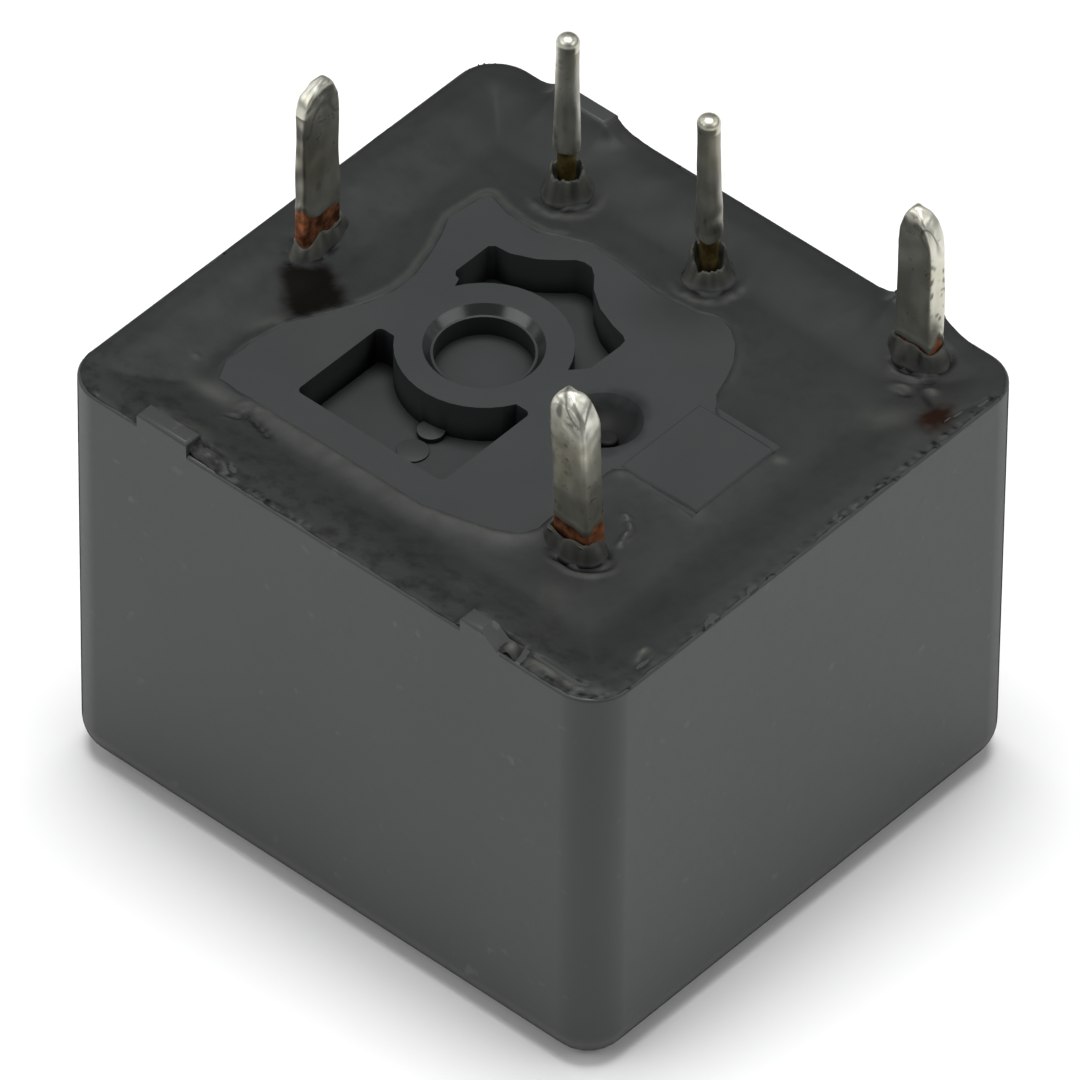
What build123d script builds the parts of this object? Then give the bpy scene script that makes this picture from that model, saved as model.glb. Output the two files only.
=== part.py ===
# Sealed power relay for a printed circuit board, pins upward.
# Millimetres. +Z points to the pin tips, the flat closed face of the cover
# lies on z = 0 and the origin is the centre of that face. +X is the contact
# end of the long side, -X the common-terminal end, +Y the coil-pin side.
from build123d import *
import math
import os

os.makedirs("parts", exist_ok=True)

# ---------------------------------------------------------------- cover
LEN = 14.0            # long side of the cover
WID = 12.64           # short side of the cover
RIM = 10.02           # height of the bare rim
WALL = 0.45           # side wall
FLOOR = 0.60          # closed face
R_CORNER = 0.94       # upright corners
R_EDGE = 0.85         # edge round the closed face
# stand-off feet on the long sides: sign of x, sign of y, x from, x to
FEET = [(-1, -1, -4.90, -3.60), (1, -1, 3.50, 4.52),
        (-1, 1, -5.05, -3.66), (1, 1, 3.80, 4.85)]
FOOT_T = 0.42
SEAT_Z = 10.34        # top of the feet, the seating plane on a board
RIB = 0.70            # corner ribs that carry the base

# ---------------------------------------------------------------- base
BASE_Z0 = 8.30        # underside
BASE_Z1 = 9.15        # flange top, covered by resin
PLAT_Z = 9.80         # raised face that shows between the resin
POCKET_Z = 8.90       # floor of the two core-outs
RING_C = (-1.58, 0.05)
RING_R = 1.77
DISH_R = 1.00
DISH_Z = 9.13
SLOT = 0.02           # clearance round a terminal in the base

PLATEAU = [
    (-4.49, 3.46), (-4.62, 2.28), (-4.37, 1.78), (-4.19, 1.28), (-4.02, 0.66),
    (-4.00, 0.05), (-4.15, -0.56), (-4.55, -1.35), (-4.93, -1.99),
    (-5.08, -2.90), (-5.08, -3.70), (-4.83, -4.19), (-3.74, -4.19),
    (0.52, -4.15), (1.39, -3.92), (2.00, -3.74), (2.50, -3.47),
    (2.71, -3.10), (2.68, -2.70), (2.64, -0.90), (4.66, -0.90),
    (4.66, 1.87), (2.98, 1.87), (2.77, 2.08), (2.59, 2.60), (2.41, 3.00),
    (2.09, 3.42), (1.73, 3.69), (1.32, 3.82), (0.90, 3.62), (-0.10, 3.52),
    (-1.00, 3.64), (-1.96, 3.68), (-2.55, 3.44), (-3.00, 3.22),
    (-3.74, 3.24),
]
POCKET_A = [          # roof-shaped core-out on the coil-pin side
    (-3.40, 1.25), (-3.40, 2.20), (-3.30, 2.30), (-2.95, 2.33),
    (-2.45, 2.56), (-2.12, 2.82), (-1.86, 3.06), (-1.70, 3.12),
    (-1.50, 3.11), (-1.30, 2.96), (-1.05, 2.66), (-0.60, 2.34),
    (-0.10, 2.15), (0.24, 2.07), (0.37, 1.98), (0.40, 1.80),
    (0.38, 0.95), (0.30, 0.85), (-0.2, 0.3), (-2.9, 0.3), (-3.20, 1.12),
    (-3.32, 1.15),
]
POCKET_B = [          # square core-out on the far side from the coil pins
    (-3.43, -3.35), (0.37, -3.35), (0.37, -0.77), (-0.60, -0.77),
    (-2.60, -0.93), (-3.43, -0.93),
]
PAD = (2.65, 4.59, -0.71, 1.60)          # raised square pad
PAD_Z = 9.85
VENT_C = (1.55, 0.04)
VENT_R = 0.78

# ---------------------------------------------------------------- resin
RESIN_Z = 9.75
RESIN_TOP = 10.07

# ---------------------------------------------------------------- pins
# x, y, bare size x, bare size y, coated size x, coated size y, tip height
COM = (-5.915, 0.00, 0.26, 1.02, 0.31, 1.08, 14.15)
NC = (4.90, 5.47, 0.80, 0.38, 0.92, 0.49, 13.75)
NO = (3.37, -2.85, 0.80, 0.46, 0.92, 0.57, 13.74)
COIL_PINS = [(-3.38, 4.47, 13.86), (0.30, 4.52, 13.92)]
COIL_R = 0.21         # bare wire
COIL_RT = 0.285       # tinned end
COAT_Z = 10.25        # where the solder coat starts

# ---------------------------------------------------------------- motor
AX = -1.54            # coil axis
CORE_R = 1.20
POLE_R = 1.90
POLE_Z = 3.10
TUBE_R = 1.55
COIL_RO = 2.85
FLANGE_R = 3.05
F1_Z0, F1_Z1 = 3.45, 3.85
F2_Z0, F2_Z1 = 6.95, 7.35
YOKE_T = 0.82
YOKE_X0 = -5.67
YOKE_W = 5.0
YOKE_END = 1.35
LEG_Z = 3.07
BLADE_T = 0.10
ARM_T = 0.70
ARM_X0, ARM_X1 = -5.52, 0.75
ARM_W = 4.6
PIVOT = (-5.56, 3.05)  # x, z of the rocking edge
REST_DEG = 3.0         # armature hangs this far from its pulled-in place
CONTACT_X = 4.00
RIVET_Y = 1.15


def rot(shape, deg=REST_DEG):
    """From the pulled-in place to the released one, about the rocking edge."""
    return shape.rotate(Axis((PIVOT[0], 0, PIVOT[1]), (0, 1, 0)), deg)


def block(x0, x1, y0, y1, z0, z1):
    return Pos((x0 + x1) / 2, (y0 + y1) / 2, (z0 + z1) / 2) * Box(
        x1 - x0, y1 - y0, z1 - z0)


def rod(x, y, r, z0, z1):
    return Pos(x, y, (z0 + z1) / 2) * Cylinder(r, z1 - z0)


def rod_x(x0, x1, y, z, r):
    return Pos((x0 + x1) / 2, y, z) * Rot(0, 90, 0) * Cylinder(r, x1 - x0)


def prism(pts, z0, z1):
    w = Polyline(*[(p[0], p[1]) for p in pts], close=True)
    return Pos(0, 0, z0) * extrude(make_face(w), amount=z1 - z0)


def slab(sx, sy, r, z0, z1):
    return Pos(0, 0, z0) * extrude(RectangleRounded(sx, sy, r), amount=z1 - z0)


def frustum(x, y, a0, b0, z0, a1, b1, z1, r0=0.0, r1=0.0):
    f0 = RectangleRounded(a0, b0, r0) if r0 else Rectangle(a0, b0)
    f1 = RectangleRounded(a1, b1, r1) if r1 else Rectangle(a1, b1)
    return loft([Pos(x, y, z0) * f0, Pos(x, y, z1) * f1])


def one(shape):
    """The single solid of a boolean result."""
    s = shape.solids()
    return max(s, key=lambda q: q.volume) if len(s) > 1 else s[0]


OUT = {}

# ================================================================ cover
IN_X, IN_Y = LEN - 2 * WALL, WID - 2 * WALL
shell = slab(LEN, WID, R_CORNER, 0, RIM)
shell = fillet(shell.faces().sort_by(Axis.Z)[0].edges(), R_EDGE)
cavity = slab(IN_X, IN_Y, 0.5, FLOOR, RIM + 1)
cavity = fillet(cavity.faces().sort_by(Axis.Z)[0].edges(), 0.3)
shell = shell - cavity
# a small round on the outer edge of the rim
rim_face = shell.faces().sort_by(Axis.Z)[-1]
outer = [e for e in rim_face.edges()
         if abs(abs(e.center().X) - LEN / 2) < 0.6
         or abs(abs(e.center().Y) - WID / 2) < 0.6]
outer = [e for e in rim_face.outer_wire().edges()]
shell = fillet(outer, 0.07)
for sx, sy, xa, xb in FEET:
    ys = sorted([sy * (WID / 2 - FOOT_T), sy * WID / 2])
    foot = block(xa, xb, ys[0], ys[1], RIM - 0.3, SEAT_Z)
    foot = fillet(foot.faces().sort_by(Axis.Z)[-1].edges(), 0.09)
    if (sx, sy) == (1, -1):
        # this foot is broken off along a slope at its outer end
        wedge = Polyline((xa + 0.52, SEAT_Z), (xb + 0.1, SEAT_Z + 0.01),
                         (xb + 0.1, RIM - 0.02), (xb - 0.06, RIM - 0.02),
                         close=True)
        wedge = extrude(Plane.XZ.offset(0) * make_face(wedge), 8, both=True)
        foot = foot - wedge
    shell = shell + foot
for sx in (-1, 1):
    for sy in (-1, 1):
        rib = block(*sorted([sx * (IN_X / 2 - RIB), sx * (IN_X / 2 + 0.1)]),
                    *sorted([sy * (IN_Y / 2 - RIB), sy * (IN_Y / 2 + 0.1)]),
                    FLOOR - 0.1, BASE_Z0)
        shell = shell + (rib & slab(LEN - 0.4, WID - 0.4, 0.8, 0.4, BASE_Z0))
OUT["cover"] = one(shell)


# ================================================================ terminals
def pin_hole(p, grow=SLOT):
    return block(p[0] - p[2] / 2 - grow, p[0] + p[2] / 2 + grow,
                 p[1] - p[3] / 2 - grow, p[1] + p[3] / 2 + grow,
                 BASE_Z0 - 1, 11)


def flat_pin(p, z0):
    """Upper part of a flat terminal, from z0 to its soldered tip."""
    x, y, a, b, A, B, tip = p
    s = block(x - a / 2, x + a / 2, y - b / 2, y + b / 2, z0, COAT_Z + 0.1)
    s = s + frustum(x, y, a, b, COAT_Z - 0.1, A, B, COAT_Z + 0.1)
    s = s + block(x - A / 2, x + A / 2, y - B / 2, y + B / 2,
                  COAT_Z + 0.1, tip - 0.45)
    s = s + frustum(x, y, A, B, tip - 0.45, A * 0.5, B * 0.5, tip)
    return s


hole_yz = [(-RIVET_Y, 5.4), (RIVET_Y, 5.4)]


def yoke_holes():
    h = None
    for yy, zz in hole_yz:
        c = rod_x(-7, -4, yy, zz, 0.355)
        h = c if h is None else h + c
    return h


# common terminal: flat against the contact spring on the yoke leg
com = block(COM[0] - COM[2] / 2, COM[0] + COM[2] / 2, -1.5, 1.5, 4.2, 7.8)
com = com + flat_pin(COM, 7.5)
com = com - yoke_holes()
OUT["com_terminal"] = one(com)

# normally open terminal: drops from its pin and turns in above the spring
no_y0, no_y1 = NO[1] - NO[3] / 2, NO[1] + NO[3] / 2
no = block(NO[0] - NO[2] / 2, NO[0] + NO[2] / 2, no_y0, no_y1, 7.4, BASE_Z0 + 0.5)
no = no + flat_pin(NO, 8.0)
no = no + block(2.95, 4.70, no_y0, no_y1, 2.77, 7.6)
no = no + block(3.25, 4.70, no_y0, 0.72, 2.77, 3.17)
no = no - rod(CONTACT_X, 0, 0.355, 2, 4)
OUT["no_terminal"] = one(no)

# normally closed terminal: runs down the far wall and turns in below it
nc_y0, nc_y1 = NC[1] - NC[3] / 2, NC[1] + NC[3] / 2
nc = block(NC[0] - NC[2] / 2, NC[0] + NC[2] / 2, nc_y0, nc_y1, 7.4, BASE_Z0 + 0.5)
nc = nc + flat_pin(NC, 8.0)
nc = nc + block(4.00, 5.40, nc_y0, nc_y1, 0.90, 7.6)
nc = nc + prism([(5.40, nc_y1), (4.00, nc_y1), (4.00, 4.2), (3.20, 3.2),
                 (3.20, -0.75), (4.75, -0.75), (4.75, 3.6), (5.40, 4.4)],
                0.90, 1.30)
nc = nc - rod(3.93, 0, 0.355, 0.5, 2)
OUT["nc_terminal"] = one(nc)

# fixed contacts: domed rivets staked in the two terminals
noc = rod(CONTACT_X, 0, 0.70, 2.57, 2.77) + rod(CONTACT_X, 0, 0.35, 2.7, 3.17)
noc = noc + rod(CONTACT_X, 0, 0.50, 3.17, 3.27)
noc = chamfer(noc.faces().sort_by(Axis.Z)[0].edges(), 0.05)
OUT["no_contact"] = one(noc)
ncc = rod(3.93, 0, 0.70, 1.30, 1.50) + rod(3.93, 0, 0.35, 0.9, 1.35)
ncc = ncc + rod(3.93, 0, 0.50, 0.80, 0.90)
ncc = chamfer(ncc.faces().sort_by(Axis.Z)[-1].edges(), 0.05)
OUT["nc_contact"] = one(ncc)

# ================================================================ base
flange = slab(IN_X - 0.10, IN_Y - 0.10, 0.45, BASE_Z0, BASE_Z1)
plateau = prism(PLATEAU, BASE_Z1 - 0.1, PLAT_Z)
try:
    plateau = chamfer(plateau.faces().sort_by(Axis.Z)[-1].edges(), 0.10)
except Exception:
    pass
base = flange + plateau
pad = block(PAD[0], PAD[1], PAD[2], PAD[3], PLAT_Z - 0.2, PAD_Z)
pad = chamfer(pad.faces().sort_by(Axis.Z)[-1].edges(), 0.045)
base = base + pad
ring_keep = rod(RING_C[0], RING_C[1], RING_R, 7, 11)
pa = prism(POCKET_A, POCKET_Z, PLAT_Z + 1) - ring_keep
pb = prism(POCKET_B, POCKET_Z, PLAT_Z + 1)
pb = fillet(pb.edges().filter_by(Axis.Z), 0.13)
pb = pb - ring_keep
base = base - pa - pb
# shallow dish in the ring, with a chamfered mouth
base = base - rod(RING_C[0], RING_C[1], DISH_R, DISH_Z, PLAT_Z + 1)
base = base - Pos(RING_C[0], RING_C[1], PLAT_Z - 0.19 + 0.10) * Cone(
    DISH_R + 0.05, 1.22, 0.20)
# two round marks on the floor of the lower core-out
base = base + rod(-1.30, -1.80, 0.28, POCKET_Z - 0.1, POCKET_Z + 0.12)
base = base + rod(-1.23, -2.41, 0.32, POCKET_Z - 0.1, POCKET_Z + 0.04)
# melted-shut vent in a round hollow
sr = (VENT_R ** 2 + 0.42 ** 2) / (2 * 0.42)
base = base - Pos(VENT_C[0], VENT_C[1], PLAT_Z - 0.42 + sr) * Sphere(sr)
nib = rod(1.84, -0.18, 0.21, PLAT_Z - 0.5, PLAT_Z - 0.10)
nib = fillet(nib.faces().sort_by(Axis.Z)[-1].edges(), 0.07)
base = base + nib
for p in (COM, NO, NC):
    base = base - pin_hole(p)
for x, y, tip in COIL_PINS:
    base = base - rod(x, y, COIL_R + SLOT, 7, 11)
OUT["base"] = one(base)

# ================================================================ resin
resin = slab(IN_X, IN_Y, 0.5, BASE_Z1, RESIN_TOP)
film = slab(LEN - 0.10, WID - 0.10, R_CORNER - 0.05, RIM, RESIN_TOP)
resin = resin + film
bowl = frustum(0, 0, IN_X - 0.90, IN_Y - 0.90, RESIN_Z,
               IN_X, IN_Y, RESIN_TOP + 0.01, 0.3, 0.5)
resin = resin - bowl
for p in (COM, NO, NC):
    resin = resin + frustum(p[0], p[1], p[2] + 0.46, p[3] + 0.46, RESIN_Z - 0.1,
                            p[2] + 0.14, p[3] + 0.14, RESIN_Z + 0.35)
# torn cups round the coil pins, lower towards the near corner
for (x, y, tip), dip in zip(COIL_PINS, (20, 45)):
    cup = Pos(x, y, 10.06) * Cone(0.58, 0.43, 0.92)
    cup = cup - rod(x, y, 0.31, 9.86, 11)
    cup = cup - (Pos(x, y, 10.50) * Rotation(0, 0, -48.7) * Rotation(0, dip, 0)
                 * Pos(0, 0, 1) * Box(4, 4, 2))
    resin = resin + cup
# resin that creeps up the inside of the feet
for sx, sy, xa, xb in FEET:
    ys = sorted([sy * (WID / 2 - FOOT_T - 0.12), sy * (WID / 2 - FOOT_T)])
    resin = resin + block(xa + 0.08, xb - 0.08, ys[0], ys[1], RIM - 0.2, SEAT_Z - 0.05)
# keep to the inside of the cover and clear of the feet, base and pins
resin = resin - (slab(LEN + 2, WID + 2, 0.9, BASE_Z1 - 1, RIM)
                 - slab(IN_X, IN_Y, 0.5, BASE_Z1 - 1, RIM))
for sx, sy, xa, xb in FEET:
    ys = sorted([sy * (WID / 2 - FOOT_T), sy * (WID / 2 + 0.2)])
    resin = resin - block(xa, xb, ys[0], ys[1], RIM - 0.5, 11)
body = slab(LEN + 1, WID + 1, 0.9, BASE_Z1, PLAT_Z) & prism(
    PLATEAU, BASE_Z1 - 0.5, PLAT_Z + 1)
resin = resin - body
resin = resin - OUT["base"]
for p in (COM, NO, NC):
    resin = resin - pin_hole(p, 0.0)
for x, y, tip in COIL_PINS:
    resin = resin - rod(x, y, COIL_R, 7, 11)
OUT["sealing_resin"] = one(resin)

# ================================================================ coil pins
for i, (x, y, tip) in enumerate(COIL_PINS, 1):
    t = rod(x, y, COIL_R, 6.35, COAT_Z + 0.30)
    t = t + Pos(x, y, COAT_Z + 0.30) * Cone(COIL_R, COIL_RT, 0.30)
    t = t + rod(x, y, COIL_RT, COAT_Z + 0.45, tip)
    t = fillet(t.faces().sort_by(Axis.Z)[-1].edges(), 0.20)
    OUT["coil_terminal_%d" % i] = one(t)

# ================================================================ magnet
core = rod(AX, 0, CORE_R, POLE_Z + 0.1, 8.20) + rod(AX, 0, POLE_R, POLE_Z, F1_Z0)
core = chamfer(core.faces().sort_by(Axis.Z)[0].edges(), 0.08)
core = chamfer(core.faces().sort_by(Axis.Z)[-1].edges(), 0.08)
OUT["core"] = one(core)

bob = rod(AX, 0, TUBE_R, F1_Z0, F2_Z1)
bob = bob + rod(AX, 0, FLANGE_R, F1_Z0, F1_Z1) + rod(AX, 0, FLANGE_R, F2_Z0, F2_Z1)
bob = bob + block(AX - 2.65, AX + 2.65, 1.2, 5.15, F2_Z0, F2_Z1)
bob = bob + block(AX - 2.65, AX + 2.65, 2.75, 5.15, F2_Z0, 8.05)
bob = bob - block(AX - 1.1, AX + 1.1, 3.5, 6, F2_Z0 - 1, 9)
bob = bob - rod(AX, 0, CORE_R + 0.01, 2, 9)
for x, y, tip in COIL_PINS:
    bob = bob - rod(x, y, COIL_R + 0.01, 6, 9)
OUT["bobbin"] = one(bob)

coil = rod(AX, 0, COIL_RO, F1_Z1 + 0.02, F2_Z0 - 0.02) - rod(AX, 0, TUBE_R + 0.01, 3, 8)
OUT["coil_winding"] = one(coil)

# coil wire ends: three close turns on each pin tail, then straight across
# to the winding
LEAD_R = 0.05
for i, (x, y, tip) in enumerate(COIL_PINS, 1):
    rr = COIL_R + LEAD_R + 0.01
    lead = None
    for k in range(3):
        turn = Pos(x, y, 6.46 + 0.09 * k) * Torus(rr, LEAD_R)
        lead = turn if lead is None else lead + turn
    dx, dy = AX - x, -y
    dist = math.hypot(dx, dy)
    ux, uy = dx / dist, dy / dist
    nx, ny = -uy, ux
    zz = 6.46 + 0.09 * 2
    reach = math.sqrt((COIL_RO + LEAD_R + 0.01) ** 2 - rr ** 2)
    run = dist - reach
    back = 0.06           # the wire's start is buried in the last turn
    wire = Plane(origin=(x + nx * rr - ux * back, y + ny * rr - uy * back, zz),
                 z_dir=(ux, uy, 0)) * (
        Pos(0, 0, (run + back) / 2) * Cylinder(LEAD_R * 0.96, run + back))
    lead = lead + wire
    OUT["coil_lead_%d" % i] = one(lead)

yoke = block(YOKE_X0, YOKE_END, -YOKE_W / 2, YOKE_W / 2, F2_Z1, F2_Z1 + 0.80)
yoke = yoke + block(YOKE_X0, YOKE_X0 + YOKE_T, -YOKE_W / 2, YOKE_W / 2, LEG_Z, F2_Z1 + 0.5)
bend = [e for e in yoke.edges().filter_by(Axis.Y)
        if abs(e.center().X - YOKE_X0) < 0.01 and e.center().Z > 8.1]
yoke = fillet(bend, 0.75)
bend = [e for e in yoke.edges().filter_by(Axis.Y)
        if abs(e.center().X - YOKE_X0 - YOKE_T) < 0.01 and abs(e.center().Z - F2_Z1) < 0.01]
yoke = fillet(bend, 0.15)
yoke = yoke - rod(AX, 0, CORE_R + 0.005, 5, 9) - yoke_holes()
OUT["yoke"] = one(yoke)

# ================================================================ armature
arm = block(ARM_X0, ARM_X1, -ARM_W / 2, ARM_W / 2, PIVOT[1] - ARM_T, PIVOT[1])
low = [e for e in arm.edges().filter_by(Axis.Y)
       if abs(e.center().X - ARM_X0) < 0.01 and e.center().Z < PIVOT[1] - 0.3]
arm = chamfer(low, 0.15)
ends = [e for e in arm.edges().filter_by(Axis.Z) if e.center().X > 0]
arm = fillet(ends, 0.6)
ARM_RX = -3.4
for yy in (-RIVET_Y, RIVET_Y):
    arm = arm - rod(ARM_RX, yy, 0.355, 2, 4)
OUT["armature"] = one(rot(arm))

# contact spring: riveted to the yoke leg, round the rocking edge, under the
# armature and out to the moving contact
zc = PIVOT[1] - ARM_T - BLADE_T / 2 - 0.005
xc = YOKE_X0 - BLADE_T / 2 - 0.005
KR = 0.50
kc = (-5.45, zc + KR)
raw = [(xc, 6.9, 0.0), (xc, 5.5, 0.0), (xc, 4.3, 0.0), (xc, 3.75, 0.0)]
for k in range(1, 9):
    t = k / 8
    s = t * t * (3 - 2 * t)
    raw.append((xc + (kc[0] - KR - xc) * s, 3.75 + (kc[1] - 3.75) * t, 0.35 * t))
for k in range(1, 13):
    a = math.pi + (math.pi / 2) * k / 12
    raw.append((kc[0] + KR * math.cos(a), kc[1] + KR * math.sin(a),
                0.35 + 0.65 * k / 12))
for xx in (-5.0, -4.0, -2.0, 0.0, 2.0, 4.75):
    raw.append((xx, zc, 1.0))
path = []
for x, z, w in raw:
    a = math.radians(REST_DEG * w)
    dx, dz = x - PIVOT[0], z - PIVOT[1]
    path.append((PIVOT[0] + dx * math.cos(a) + dz * math.sin(a),
                 PIVOT[1] - dx * math.sin(a) + dz * math.cos(a)))
left, right = [], []
for i, (x, z) in enumerate(path):
    x0, z0 = path[max(i - 1, 0)]
    x1, z1 = path[min(i + 1, len(path) - 1)]
    l = math.hypot(x1 - x0, z1 - z0)
    nx, nz = -(z1 - z0) / l, (x1 - x0) / l
    left.append((x + nx * BLADE_T / 2, z + nz * BLADE_T / 2))
    right.append((x - nx * BLADE_T / 2, z - nz * BLADE_T / 2))
prof = Plane.XZ * make_face(Polyline(*(left + right[::-1]), close=True))
blade = extrude(prof, amount=1.6, both=True)
plan = prism([(-7, -1.6), (0.8, -1.6), (2.3, -0.78), (4.2, -0.78), (4.6, -0.55),
              (4.72, 0.0), (4.6, 0.55), (4.2, 0.78), (2.3, 0.78), (0.8, 1.6),
              (-7, 1.6)], 0.7, 8)
blade = blade & plan
blade = blade - block(-6.3, -4.7, -0.6, 0.6, 1.5, 3.7) - yoke_holes()
holes = None
for yy in (-RIVET_Y, RIVET_Y):
    h = rot(rod(ARM_RX, yy, 0.355, 1.5, 2.9))
    blade = blade - h
blade = blade - rot(rod(CONTACT_X, 0, 0.355, 1.5, 3.2))
OUT["contact_spring"] = one(blade)

zb, zt = zc - BLADE_T / 2, zc + BLADE_T / 2
mc = rod(CONTACT_X, 0, 0.345, zb - 0.1, zt + 0.1)
mc = mc + rod(CONTACT_X, 0, 0.70, zt + 0.005, zt + 0.195)
mc = mc + rod(CONTACT_X, 0, 0.70, zb - 0.195, zb - 0.005)
OUT["moving_contact"] = one(rot(mc))

for i, yy in enumerate((-RIVET_Y, RIVET_Y), 1):
    r = rod(ARM_RX, yy, 0.345, zb - 0.1, PIVOT[1] - 0.01)
    r = r + rod(ARM_RX, yy, 0.62, zb - 0.20, zb - 0.005)
    r = fillet(r.faces().sort_by(Axis.Z)[0].edges(), 0.08)
    OUT["armature_rivet_%d" % i] = one(rot(r))

for i, (yy, zz) in enumerate(hole_yz, 1):
    r = rod_x(-6.10, YOKE_X0 + YOKE_T, yy, zz, 0.345)
    r = r + rod_x(-6.26, COM[0] - COM[2] / 2 - 0.005, yy, zz, 0.62)
    r = fillet(r.faces().sort_by(Axis.X)[0].edges(), 0.08)
    OUT["yoke_rivet_%d" % i] = one(r)

# ================================================================ write
for name, shape in OUT.items():
    export_step(shape, "parts/%s.step" % name)
    bb = shape.bounding_box()
    print("%-18s vol %8.3f  x %6.2f %6.2f  y %6.2f %6.2f  z %6.2f %6.2f  valid %s"
          % (name, shape.volume, bb.min.X, bb.max.X, bb.min.Y, bb.max.Y,
             bb.min.Z, bb.max.Z, shape.is_valid))
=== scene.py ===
import bpy
import bmesh
import math
import numpy as np
from mathutils import Matrix, Vector


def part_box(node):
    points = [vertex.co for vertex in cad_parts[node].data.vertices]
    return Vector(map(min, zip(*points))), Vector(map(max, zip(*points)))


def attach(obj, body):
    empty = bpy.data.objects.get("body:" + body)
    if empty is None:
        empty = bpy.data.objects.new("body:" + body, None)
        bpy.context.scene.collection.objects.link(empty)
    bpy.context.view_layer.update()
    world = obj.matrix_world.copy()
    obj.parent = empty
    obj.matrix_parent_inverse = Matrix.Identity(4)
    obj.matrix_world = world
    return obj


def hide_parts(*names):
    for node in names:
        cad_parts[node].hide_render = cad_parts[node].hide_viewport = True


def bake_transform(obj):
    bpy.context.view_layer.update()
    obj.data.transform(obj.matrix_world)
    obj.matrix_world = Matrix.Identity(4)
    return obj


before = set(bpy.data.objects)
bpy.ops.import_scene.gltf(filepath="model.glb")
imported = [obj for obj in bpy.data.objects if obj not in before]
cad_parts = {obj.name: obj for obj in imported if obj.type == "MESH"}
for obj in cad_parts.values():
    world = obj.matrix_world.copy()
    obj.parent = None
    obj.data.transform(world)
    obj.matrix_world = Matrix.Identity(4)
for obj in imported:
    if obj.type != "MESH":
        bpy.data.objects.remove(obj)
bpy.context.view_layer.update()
MM = 0.001
scene = bpy.context.scene

# ------------------------------------------------------------------ sizes, mm
LEN, WID = 14.0, 12.64
RIM, RESIN_TOP, SEAT_Z = 10.02, 10.07, 10.34
PLAT_Z = 9.80
FOOT_T = 0.42
# stand-off feet: sign of y, x from, x to, where the top ends
FEET = [(-1, -4.90, -3.60, -3.60), (-1, 3.50, 4.52, 4.10),
        (1, -5.05, -3.66, -3.66), (1, 3.80, 4.85, 4.85)]
PLATEAU = np.array([
    (-4.49, 3.46), (-4.62, 2.28), (-4.37, 1.78), (-4.19, 1.28), (-4.02, 0.66),
    (-4.00, 0.05), (-4.15, -0.56), (-4.55, -1.35), (-4.93, -1.99),
    (-5.08, -2.90), (-5.08, -3.70), (-4.83, -4.19), (-3.74, -4.19),
    (0.52, -4.15), (1.39, -3.92), (2.00, -3.74), (2.50, -3.47),
    (2.71, -3.10), (2.68, -2.70), (2.64, -0.90), (4.66, -0.90),
    (4.66, 1.87), (2.98, 1.87), (2.77, 2.08), (2.59, 2.60), (2.41, 3.00),
    (2.09, 3.42), (1.73, 3.69), (1.32, 3.82), (0.90, 3.62), (-0.10, 3.52),
    (-1.00, 3.64), (-1.96, 3.68), (-2.55, 3.44), (-3.00, 3.22),
    (-3.74, 3.24)])
LEDGE = {(2.64, -0.90): (2.64, -0.74), (4.66, -0.90): (4.60, -0.74),
         (4.66, 1.87): (4.60, 1.62), (2.98, 1.87): (3.02, 1.62)}
SHORE = np.array([LEDGE.get((float(px), float(py)), (px, py)) for px, py in PLATEAU])
STAIN = np.array([(-5.90, -1.06), (-5.62, -1.36), (-5.36, -1.58), (-5.10, -1.74),
                  (-4.86, -1.93), (-4.70, -1.66), (-4.42, -1.01), (-4.40, -0.80),
                  (-4.66, -0.66), (-4.94, -0.52), (-5.28, -0.30), (-5.74, -0.62)])
# x, y, bare x, bare y, coated x, coated y, tip
COM = (-5.915, 0.00, 0.275, 1.045, 0.295, 1.060, 14.14)
NC = (4.90, 5.47, 0.895, 0.455, 0.905, 0.475, 13.735)
NO = (3.37, -2.85, 0.895, 0.535, 0.91, 0.555, 13.73)
COIL = [(-3.38, 4.47, 13.86), (0.30, 4.52, 13.92)]


# ------------------------------------------------------------------ helpers
def waves(P, scale, seed, n=24):
    """Smooth seeded noise of about unit size; P is (N, 2) or (N, 3) in mm."""
    rng = np.random.default_rng(seed)
    dim = P.shape[1]
    k = rng.normal(size=(n, dim))
    k /= np.linalg.norm(k, axis=1)[:, None]
    k *= (2 * math.pi / scale) * rng.uniform(0.6, 1.5, n)[:, None]
    ph = rng.uniform(0, 2 * math.pi, n)
    out = np.zeros(len(P))
    for i in range(n):
        out += np.sin(P @ k[i] + ph[i])
    return out / math.sqrt(n / 2) / 1.5


def sstep(a, b, x):
    t = np.clip((x - a) / (b - a), 0, 1)
    return t * t * (3 - 2 * t)


def d_round_rect(x, y, sx, sy, r):
    """Distance inside (+) or outside (-) a rounded rectangle."""
    qx = np.abs(x) - sx / 2 + r
    qy = np.abs(y) - sy / 2 + r
    out = np.hypot(np.maximum(qx, 0), np.maximum(qy, 0))
    return -(out + np.minimum(np.maximum(qx, qy), 0) - r)


def d_poly(x, y, poly):
    """Signed distance to a polygon, + outside."""
    P = np.stack([x, y], -1)
    d = np.full(x.shape, 1e9)
    inside = np.zeros(x.shape, bool)
    n = len(poly)
    for i in range(n):
        a, b = poly[i], poly[(i + 1) % n]
        e = b - a
        w = P - a
        t = np.clip((w @ e) / (e @ e), 0, 1)
        d = np.minimum(d, np.linalg.norm(w - t[..., None] * e, axis=-1))
        c = (a[1] > y) != (b[1] > y)
        with np.errstate(divide="ignore", invalid="ignore"):
            xi = (b[0] - a[0]) * (y - a[1]) / (b[1] - a[1] + 1e-12) + a[0]
        inside ^= c & (x < xi)
    return np.where(inside, -d, d)


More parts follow.
